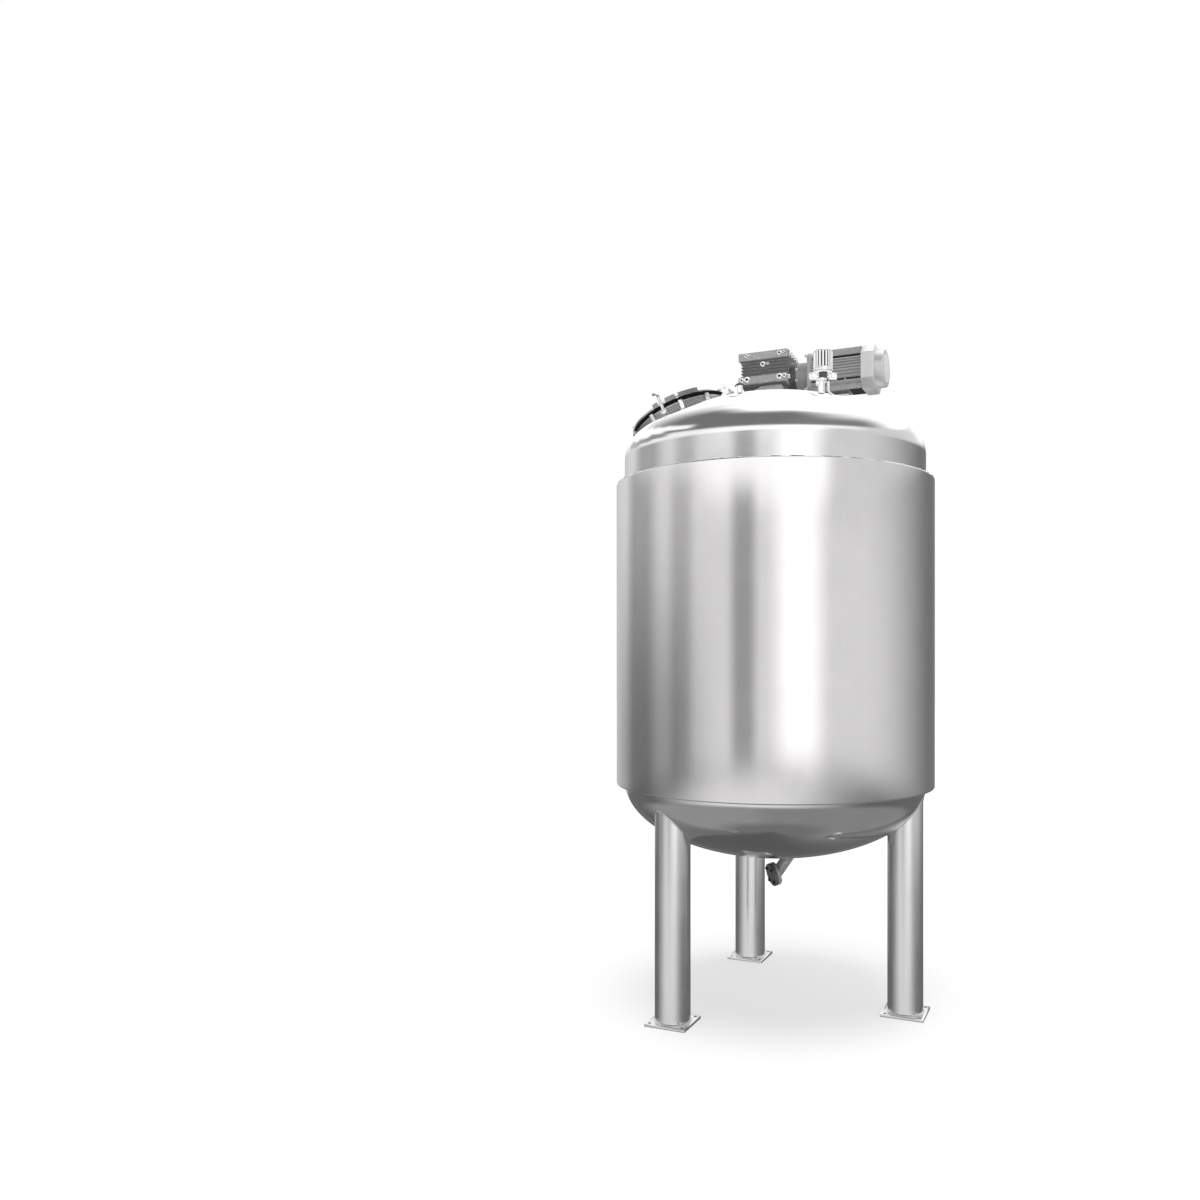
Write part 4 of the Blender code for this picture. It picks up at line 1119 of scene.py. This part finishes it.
def rim_strip(start, end, low, high):
    """A curved upright strip outside the cover's rim, between two angles."""
    inner, outer = COVER_RADIUS + 0.0004, RIM_STRIP_RADIUS
    outline = ((inner, low), (outer, low), (outer, high - 0.001), (outer - 0.001, high),
               (inner, high))
    steps = max(4, int((end - start) / 2))
    return skin([[on_manway(start + (end - start) * k / steps, *point) for point in outline]
                 for k in range(steps + 1)], capped=True)


def ear():
    """One of the two plates that hold a swing bolt's pivot, from the neck outward."""
    root = NECK_RADIUS - BOLT_CIRCLE + GAP
    outline = [(root, -0.016), (0.0, -0.014), *arc(ORIGIN, EYE_RADIUS, -80, 90, 12), (root, 0.016)]
    return extruded([(x, -0.003, z) for x, z in outline], (0.0, 0.006, 0.0))


def long_bolt():
    """An eye bolt that stands on its pivot and passes the cover's edge."""
    bm = sweep([(0.0, 0.0, EYE_HALF), (0.0, 0.0, LONG_BOLT_LENGTH)], BOLT_RADIUS, 20)
    eye = round_plate(EYE_RADIUS, -EYE_HALF, EYE_HALF, 0.0015, COARSE)
    return merge(bm, eye, Matrix.Rotation(math.pi / 2, 4, 'Y'))


def knob():
    """The long bolt's nut and its cranked end with a ball."""
    bm = moved(bolt(0.014, 0.009), Matrix.Translation(UP * GAP))
    merge(bm, sweep(CRANK, CRANK_RADIUS, 12))
    ball = bmesh.new()
    bmesh.ops.create_uvsphere(ball, u_segments=24, v_segments=16, radius=BALL_RADIUS)
    merge(bm, ball, Matrix.Translation(BALL_PLACE))
    return moved(bm, Matrix.Translation(UP * LONG_BOLT_LENGTH))


def rounded_rectangle(low, high, radius, steps=5):
    corners = [(low[0], low[1]), (high[0], low[1]), (high[0], high[1]), (low[0], high[1])]
    return rounded(corners, (radius,) * 4, steps)


def stacked(levels):
    """A closed body through level outlines with equal numbers of points."""
    return skin([[(x, y, z) for x, y in outline] for z, outline in levels], capped=True)


def slab(low, high, z_low, z_high, corner, edge=0.003):
    """An upright slab with rounded corners and softened top and bottom edges."""
    levels = []
    for share in (1.0, 0.5, 0.13, 0.0):
        back = edge * (1 - math.sqrt(max(1 - share ** 2, 0.0)))
        levels.append((z_low + edge * (1 - share), back))
    levels += [(z_low + z_high - z, back) for z, back in reversed(levels)]
    shapes = [(z, rounded_rectangle((low[0] + b, low[1] + b), (high[0] - b, high[1] - b), corner))
              for z, b in levels]
    return stacked(shapes)


def make_gearbox():
    left, right, half = GEARBOX_LEFT, GEARBOX_RIGHT, GEARBOX_HALF
    inset = GEARBOX_INSET
    for name, low, high, node in (("lower_casting", GEARBOX_SILL, GEARBOX_WAIST - GAP,
                                   "gearbox_bottom_flange"),
                                  ("upper_casting", GEARBOX_SHOULDER + GAP, GEARBOX_TOP,
                                   "gearbox_top_flange")):
        unmirrored(name, slab((left, -half), (right, half), low, high, inset / 2), "flange", node)

    pitch = (GEARBOX_SHOULDER - GEARBOX_WAIST) / GEARBOX_RIBS
    levels = [(GEARBOX_WAIST + (k + share) * pitch, back * GEARBOX_RIB_DEPTH)
              for k in range(GEARBOX_RIBS) for share, back in RIB_PROFILE]
    levels.append((GEARBOX_SHOULDER, 0.0))
    side = half - inset / 2
    shapes = [(z, rounded_rectangle((left + inset + b, -side + b), (right, side - b), 0.004))
              for z, b in levels]
    unmirrored("ribbed_casting", stacked(shapes), "ribs", "gearbox_housing")
    # A thin dark plate over the gearbox's right end face: painted shade on that face.
    end = block((right + 0.00005, 0.010 - half, GEARBOX_SILL + 0.004),
                (right + 0.00025, half - 0.010, GEARBOX_TOP - 0.004), 0.00005, 1)
    unmirrored("gearbox_end_shade", end, "casting")
    make_stool(left + inset, right - inset, half - inset)

    bolts, socket_shades = bmesh.new(), bmesh.new()
    for way in (-1, 1):
        for x, z, radius in CASTING_BOLTS:
            socket_screw((x, way * (half + OFF_FACE), z), (0.0, way, 0.0), radius, bolts, socket_shades)
    level, radius = LEFT_BOLT
    upper, lower = RIGHT_BOLT_LEVELS
    for y in (-END_BOLT_OUT, END_BOLT_OUT):
        socket_screw((left - OFF_FACE, y, level), (-1.0, 0.0, 0.0), radius, bolts)
        for across, z in ((y, upper), (y / 3, upper), (y * 1.25, lower)):
            socket_screw((right + OFF_FACE, across, z), (1.0, 0.0, 0.0), RIGHT_BOLT_RADIUS, bolts)
    for x, radius in RIB_SCREWS:
        socket_screw((x, -(side + GAP), RIB_SCREW_LEVEL), (0.0, -1.0, 0.0), radius, bolts,
                     socket_shades)
    unmirrored("casting_bolts", bolts, "bolt")
    unmirrored("bolt_socket_shades", socket_shades, "dark")


def socket_screw(spot, outward, radius, bolts, socket_shades=None):
    """A round bolt head with a sunk socket, standing on a face, and a dark disc of painted shade in
    the socket.
    """
    place = pointing(spot, outward)
    outline = [(0.0, 0.0), (radius, 0.0), (radius, 0.003), (radius * 0.82, 0.009),
               (radius * 0.55, 0.009), (radius * 0.50, 0.002), (0.0, 0.002)]
    merge(bolts, lathe(outline, COARSE), place)
    if socket_shades is not None:
        merge(socket_shades, round_plate(radius * 0.46, 0.003, 0.0045, 0.0004, SMALL), place)


def make_stool(left, right, half):
    """A trunk from the gearbox down to a bright pad on the dished head."""
    top = rounded_rectangle((left, -half), (right, half), GEARBOX_INSET, 16)
    shapes = [(z, [(x * grow, y * grow) for x, y in top])
              for z, grow in ((STOOL_FOOT + GAP, STOOL_TAPER), (GEARBOX_SILL - 0.018, STOOL_TAPER),
                              (GEARBOX_SILL - 0.012, 1.0), (GEARBOX_SILL - GAP, 1.0))]
    unmirrored("stool", stacked(shapes), "casting", "drive_stool")

    rings = [[on_head(Vector(), x * 1.06, y * 1.06, GAP) for x, y in top]]
    for spread, height in ((1.02, STOOL_FOOT - 0.002), (1.0, STOOL_FOOT)):
        rings.append([(x * spread, y * spread, height) for x, y in top])
    unmirrored("stool_pad", skin(rings, capped=True), "vessel")

    front = -half * STOOL_TAPER - 0.0045
    web = [(x, front, STOOL_FOOT + z)
           for x, z in ((left + 0.052, 0.003), (left + 0.080, 0.019), (left + 0.100, 0.026),
                        (right - 0.020, 0.026), (right - 0.010, 0.003))]
    bm = extruded(web, (0.0, 0.006, 0.0))
    unmirrored("stool_web", soften(bm, bm.edges[:], 0.0012, 2), "flange")


def along_motor(bm):
    """Lay a piece made about +Z along +X at the motor's height."""
    turn = Matrix.Translation((0.0, 0.0, MOTOR_AXIS_Z)) @ Matrix.Rotation(math.pi / 2, 4, 'Y')
    return moved(bm, turn)


def make_motor():
    flange = round_plate(INPUT_RADIUS, GEARBOX_RIGHT + GAP, INPUT_END, 0.004)
    unmirrored("input_plate", along_motor(flange), "casting", "input_flange")
    neck = lathe(rounded([(0.0, INPUT_END + GAP), (ADAPTER_RADIUS, INPUT_END + GAP),
                          (ADAPTER_RADIUS, ADAPTER_END), (0.0, ADAPTER_END)],
                         (0.0, 0.002, 0.008, 0.0), 5))
    unmirrored("adapter", along_motor(neck), "neck", "motor_adapter")
    shield, cowl = eight_sided(SHIELD_RADIUS, SHIELD_FLAT), eight_sided(COWL_RADIUS, COWL_FLAT)
    for name, outline, start, end, edge, segments, finish, node in (
            ("shield", shield, ADAPTER_END, SHIELD_END, 0.004, 3, "motor", "motor_shield"),
            ("finned_body", motor_outline(), SHIELD_END, MOTOR_END, 0.001, 1, "motor",
             "motor_body"),
            ("cowl", cowl, MOTOR_END, COWL_END, 0.005, 3, "cowl", "motor_cowl")):
        unmirrored(name, prism(raised(outline), start + GAP, end, edge, segments), finish, node)
    cap = lathe(rounded([(0.0, COWL_END + GAP), (CAP_RADIUS, COWL_END + GAP),
                         (CAP_RADIUS, CAP_END - 0.004), (CAP_RADIUS - 0.005, CAP_END),
                         (0.0, CAP_END)], (0.0, 0.003, 0.003, 0.004, 0.0), 5))
    unmirrored("end_cap", along_motor(cap), "cowl", "motor_end_cap")
    # Dark discs of painted shade stand for the holes in the cap's face.
    holes = bmesh.new()
    for ring, inset in enumerate(CAP_HOLE_RINGS):
        for k in range(CAP_HOLES):
            spot = beside_motor(CAP_END, CAP_RADIUS - inset, TURN * (k + ring / 2) / CAP_HOLES)
            merge(holes, round_plate(CAP_HOLE_RADIUS, 0.0, 0.0004, 0.0001, 12),
                  pointing(spot, (1.0, 0.0, 0.0)))
    unmirrored("cap_hole_shades", holes, "dark")
    make_motor_underside()
    make_drive_screws()


def make_motor_underside():
    """The bar under the motor, its bright lower edge, and dark plates of painted shade beside it
    and in the fins' slits.
    """
    low, high = MOTOR_FOOT
    unmirrored("foot_bar", block(low, (high[0], FOOT_BAR_BACK, high[2]), 0.003), "casting",
               "motor_foot")
    front, back = FOOT_STRIP
    strip = block((low[0] + 0.001, front, low[2] - 0.0006), (high[0] - 0.001, back, low[2]),
                  0.0002, 1)
    unmirrored("foot_strip", strip, "bright")
    dark = bmesh.new()
    for start, end in ((SHIELD_END + 0.004, low[0] - 0.001), (high[0] + 0.001, MOTOR_END - 0.001)):
        merge(dark, block((start, -UNDERSIDE_HALF, high[2] - 0.0007),
                          (end, UNDERSIDE_HALF, high[2]), 0.0002, 1))
    for side in (-1, 1):
        for slit in MOTOR_SLITS:
            shape = [(side * y, z) for y, z in slit]
            merge(dark, prism(raised(shape), SHIELD_END + 0.002, MOTOR_END - 0.002))
    unmirrored("motor_shadows", dark, "dark")


def make_drive_screws():
    bolts = bmesh.new()
    for k in range(INPUT_BOLTS):
        spot = beside_motor(INPUT_END + OFF_FACE, INPUT_RADIUS - INPUT_BOLT_INSET,
                            TURN * (k + 0.5) / INPUT_BOLTS)
        merge(bolts, bolt(0.012, 0.008, 0.002), pointing(spot, (1.0, 0.0, 0.0)))
    corner = SHIELD_RADIUS - SHIELD_BOLT_INSET
    for side in (-1, 1):
        for level in (-1, 1):
            spot = (ADAPTER_END + 0.0001, side * corner, MOTOR_AXIS_Z + level * corner)
            merge(bolts, bolt(0.014, 0.010, 0.003), pointing(spot, (-1.0, 0.0, 0.0)))
        for z, reach in SLIT_SCREWS:
            spot = (SLIT_SCREW_PLACE, side * reach, MOTOR_AXIS_Z + z)
            merge(bolts, round_plate(SLIT_SCREW_RADIUS, 0.0, 0.010, 0.001, SMALL),
                  pointing(spot, (0.0, side, 0.0)))
    unmirrored("drive_screws", bolts, "bolt")


def beside_motor(x, radius, angle):
    """A point round the motor's axis."""
    return x, radius * math.cos(angle), MOTOR_AXIS_Z + radius * math.sin(angle)


def raised(outline):
    return [(y, z + MOTOR_AXIS_Z) for y, z in outline]


def motor_outline():
    """Level fins on both sides of a round core, between a pad above and a sole below."""
    side = []
    for k in range(MOTOR_FINS):
        middle = MOTOR_FIN_CENTRE + (k - (MOTOR_FINS - 1) / 2) * MOTOR_FIN_PITCH
        half = MOTOR_FIN_HALF
        for radius, z in ((MOTOR_CORE, -half - 0.0010), (MOTOR_CORE + 0.001, -half),
                          (MOTOR_RADIUS - 0.001, -half + 0.0005), (MOTOR_RADIUS, -half + 0.0015),
                          (MOTOR_RADIUS, half - 0.0015), (MOTOR_RADIUS - 0.001, half - 0.0005),
                          (MOTOR_CORE + 0.001, half), (MOTOR_CORE, half + 0.0010)):
            side.append((math.sqrt(radius ** 2 - (middle + z) ** 2), middle + z))
    sole = [(0.0, MOTOR_SOLE[0][1]), *MOTOR_SOLE]
    pad = [*MOTOR_PAD, (0.0, MOTOR_PAD[-1][1])]
    right = rounded(sole, (0.0, 0.003) + (0.001,) * 5 + (0.0,), 3)[1:]
    right += side + rounded(pad, (0.0,) + (0.001,) * 4 + (0.003, 0.0), 3)[:-1]
    left = [(-y, z) for y, z in reversed(right)]
    return right + left


def eight_sided(radius, flat):
    """A square of the given half width, its corners cut back to leave flats of a share of it."""
    back = radius * flat
    corners = [(radius, -back), (radius, back), (back, radius), (-back, radius),
               (-radius, back), (-radius, -back), (-back, -radius), (back, -radius)]
    return rounded(corners, (0.006,) * 8, 4)


def make_breather():
    """Pipe, ring, clamp with two wing nuts, slotted body, and a thin tube beside the pipe."""
    turn = Matrix.Rotation(FITTING_BEARING, 4, 'Z')
    place = Matrix.Translation(BREATHER_PLACE)
    outward = Vector((math.cos(FITTING_BEARING), math.sin(FITTING_BEARING), 0.0))
    shift = outward * BREATHER_PIPE_SHIFT
    low, high = BREATHER_RING
    pipe = pipe_on_head(BREATHER_PLACE + shift, BREATHER_PIPE_RADIUS, low - GAP)
    unmirrored("vent_pipe", pipe, "fitting", "breather_pipe")
    make_pad("breather", BREATHER_PLACE, BREATHER_PAD_RADIUS)
    clamp = moved(round_plate(CLAMP_RADIUS, low, high, 0.003), Matrix.Translation(shift))
    merge(clamp, block(*CLAMP_LUG, 0.003), turn)
    merge(clamp, round_plate(BREATHER_RADIUS, BREATHER_PLATE, BREATHER_BODY - GAP, 0.003))
    unmirrored("clamp_ring", moved(clamp, place), "bolt", "breather_clamp")
    throat = lathe([(0.0, high + GAP), (THROAT_RADIUS, high + GAP), (THROAT_WAIST, high + 0.012),
                    (THROAT_RADIUS, BREATHER_PLATE - GAP), (0.0, BREATHER_PLATE - GAP)], COARSE)
    unmirrored("clamp_throat", moved(throat, place), "casting")
    wings = bmesh.new()
    for across in BREATHER_NUTS:
        merge(wings, wing_nut(), Matrix.Translation((across, -0.004, BREATHER_NUT_HEIGHT)))
    merge(wings, sweep([(across, 0.004, BREATHER_NUT_HEIGHT) for across in BREATHER_NUTS],
                       NUT_BAR_RADIUS, SMALL))
    unmirrored("clamp_wing", moved(wings, place @ turn), "bolt", "clamp_lug")

    outline = []
    for k in range(BREATHER_SLOTS):
        for share, depth in SLOT_PROFILE:
            angle = TURN * (k + share) / BREATHER_SLOTS
            reach = depth * BREATHER_RADIUS
            outline.append((reach * math.cos(angle), reach * math.sin(angle)))
    body = stacked([(BREATHER_BODY + 0.003, outline), (BREATHER_TOP - 0.006, outline)])
    merge(body, round_plate(BREATHER_RADIUS, BREATHER_BODY, BREATHER_BODY + 0.0035, 0.001))
    merge(body, round_plate(BREATHER_RADIUS * 0.97, BREATHER_TOP - 0.0065, BREATHER_TOP, 0.003))
    unmirrored("slotted_body", moved(body, place), "fitting", "breather_body")
    # Dark strips of painted shade in the slots.
    slots = bmesh.new()
    for k in range(BREATHER_SLOTS):
        middle = TURN * (k + 0.75) / BREATHER_SLOTS
        slot = block((0.0, -SLOT_HALF, BREATHER_BODY + 0.004),
                     (0.0012, SLOT_HALF, BREATHER_TOP - 0.007), 0.0003, 1)
        reach = Matrix.Translation((BREATHER_RADIUS * SLOT_FLOOR, 0.0, 0.0))
        merge(slots, slot, Matrix.Rotation(middle, 4, 'Z') @ reach)
    unmirrored("breather_slot_shades", moved(slots, place), "dark")

    route = [BREATHER_PLACE + outward * (BALANCE_TUBE_OFFSET + reach) + UP * z
             for reach, z in BALANCE_TUBE_ROUTE]
    tube = sweep(bend(route, 0.006, 5), BALANCE_TUBE_RADIUS, SMALL)
    unmirrored("thin_tube", tube, "fitting", "balance_tube")


def wing_nut():
    """A nut with two broad rounded wings, facing -Y, about its own middle."""
    bm = block(-Vector(WING_NUT), WING_NUT, 0.0035)
    return merge(bm, hexagon(0.018, 0.0, 0.012), pointing((0.0, -0.003, 0.0), (0.0, -1.0, 0.0)))


def make_pad(name, place, radius):
    """A thin round plate on the top head, with a dark line along its left front: a painted
    reflection of the fitting on the head.
    """
    pad = [[on_head(place, x, y, rise) for x, y in circle(radius * share, PAD)]
           for share, rise in PAD_PROFILE]
    unmirrored(f"{name}_pad", skin(pad), "vessel")
    start = math.degrees(FITTING_BEARING) + REFLECTION_LINE_START
    line = [on_head(place, x, y, REFLECTION_LINE_RADIUS)
            for x, y in arc(ORIGIN, radius + 0.001, start, start + REFLECTION_LINE_SPAN, REFLECTION_LINE_STEPS)]
    widths = [REFLECTION_LINE_RADIUS * math.sin(math.pi * (k + 1) / (REFLECTION_LINE_STEPS + 2)) ** 0.5
              for k in range(REFLECTION_LINE_STEPS + 1)]
    # The dark line of painted reflection.
    unmirrored(f"{name}_seam", sweep(line, widths, 10), "strip")


def pipe_on_head(place, radius, top):
    """An upright pipe whose foot spreads in a weld on the top head."""
    rings = [[on_head(place, x, y, rise) for x, y in circle(radius + spread, PIPE)]
             for spread, rise in PIPE_FLARE]
    for inner, height in ((radius, top - 0.0005), (radius - 0.0005, top), (radius - 0.002, top),
                          (radius - 0.002, top - 0.1)):
        rings.append([(place.x + x, place.y + y, height) for x, y in circle(inner, PIPE)])
    return skin(rings)


def make_vent():
    pipe = pipe_on_head(VENT_PLACE, VENT_RADIUS, VENT_TOP - GAP)
    unmirrored("small_pipe", pipe, "fitting", "vent_nozzle")
    make_pad("vent", VENT_PLACE, VENT_PAD_RADIUS)
    cap = round_plate(VENT_CAP_RADIUS, VENT_TOP, VENT_TOP + 0.006, 0.002, COARSE)
    wings = [(VENT_WING_REACH * math.cos(a), 0.0, VENT_TOP - 0.006 + VENT_WING_RISE * math.sin(a))
             for a in (math.radians(15 * k) for k in range(13))]
    merge(cap, sweep(wings, [0.001] + [0.003] * (len(wings) - 2) + [0.001], 12))
    place = Matrix.Translation(VENT_PLACE) @ Matrix.Rotation(FITTING_BEARING, 4, 'Z')
    unmirrored("wing_cap", moved(cap, place), "casting", "vent_wing_cap")


def outlet_frame(fall):
    """Point +Z along the outlet's bearing, falling by an angle below the level."""
    level = math.cos(fall)
    direction = (level * math.cos(OUTLET_BEARING), level * math.sin(OUTLET_BEARING),
                 -math.sin(fall))
    return pointing(OUTLET_FACE, direction)


def make_outlet():
    slope = outlet_frame(OUTLET_FALL)
    flange = outlet_frame(OUTLET_FLANGE_FALL)
    axis = slope.to_3x3() @ UP
    square = flange.to_3x3() @ UP
    rings = []
    for radius, top in ((OUTLET_PIPE_RADIUS, True), (OUTLET_PIPE_RADIUS, False),
                        (OUTLET_BORE, False), (OUTLET_BORE, True)):
        ring = []
        for x, y in circle(radius, PIPE):
            spot = slope @ Vector((x, y, 0.0))
            if top:
                spot = follow(spot, -axis, below_head, 0.25)
            else:
                spot -= axis * ((spot - OUTLET_FACE).dot(square) + GAP) / axis.dot(square)
            ring.append(spot)
        rings.append(ring)
    piece("drain_pipe", skin(rings, wrapped=True), "drain", "outlet_pipe")
    unmirrored("drain_weld", sweep(rings[0], OUTLET_WELD, 10, closed=True), "weld")

    thick = OUTLET_FLANGE_THICKNESS
    ring = round_tube(OUTLET_FLANGE_RADIUS, OUTLET_FLANGE_BORE, 0.0, thick, 0.0015)
    piece("drain_flange", moved(ring, flange), "drain", "outlet_flange")
    blank = round_plate(OUTLET_FLANGE_RADIUS, thick + GAP, 2 * thick, 0.0025)
    piece("drain_blank", moved(blank, flange), "casting", "outlet_blank")
    bolts = bmesh.new()
    for x, y in arc(ORIGIN, OUTLET_BOLT_CIRCLE, 45, 315, 3):
        for z, turn in ((2 * thick + OFF_FACE, 0.0), (-OFF_FACE, math.pi)):
            place = Matrix.Translation((x, y, z)) @ Matrix.Rotation(turn, 4, 'X')
            merge(bolts, bolt(0.015, 0.006, 0.002), flange @ place)
    piece("drain_bolts", bolts, "dark")


def dress_nodes():
    """The CAD nodes that stay get their finish."""
    for name in ("agitator_shaft", "impeller_lower", "impeller_upper"):
        for slot in NODES[name].material_slots:
            slot.material = FINISHES["agitator"]


make_camera()
make_world()
make_stage()
FINISHES = make_finishes()
make_vessel()
make_jacket()
make_legs()
make_manway()
make_gearbox()
make_motor()
make_breather()
make_vent()
make_outlet()
dress_nodes()
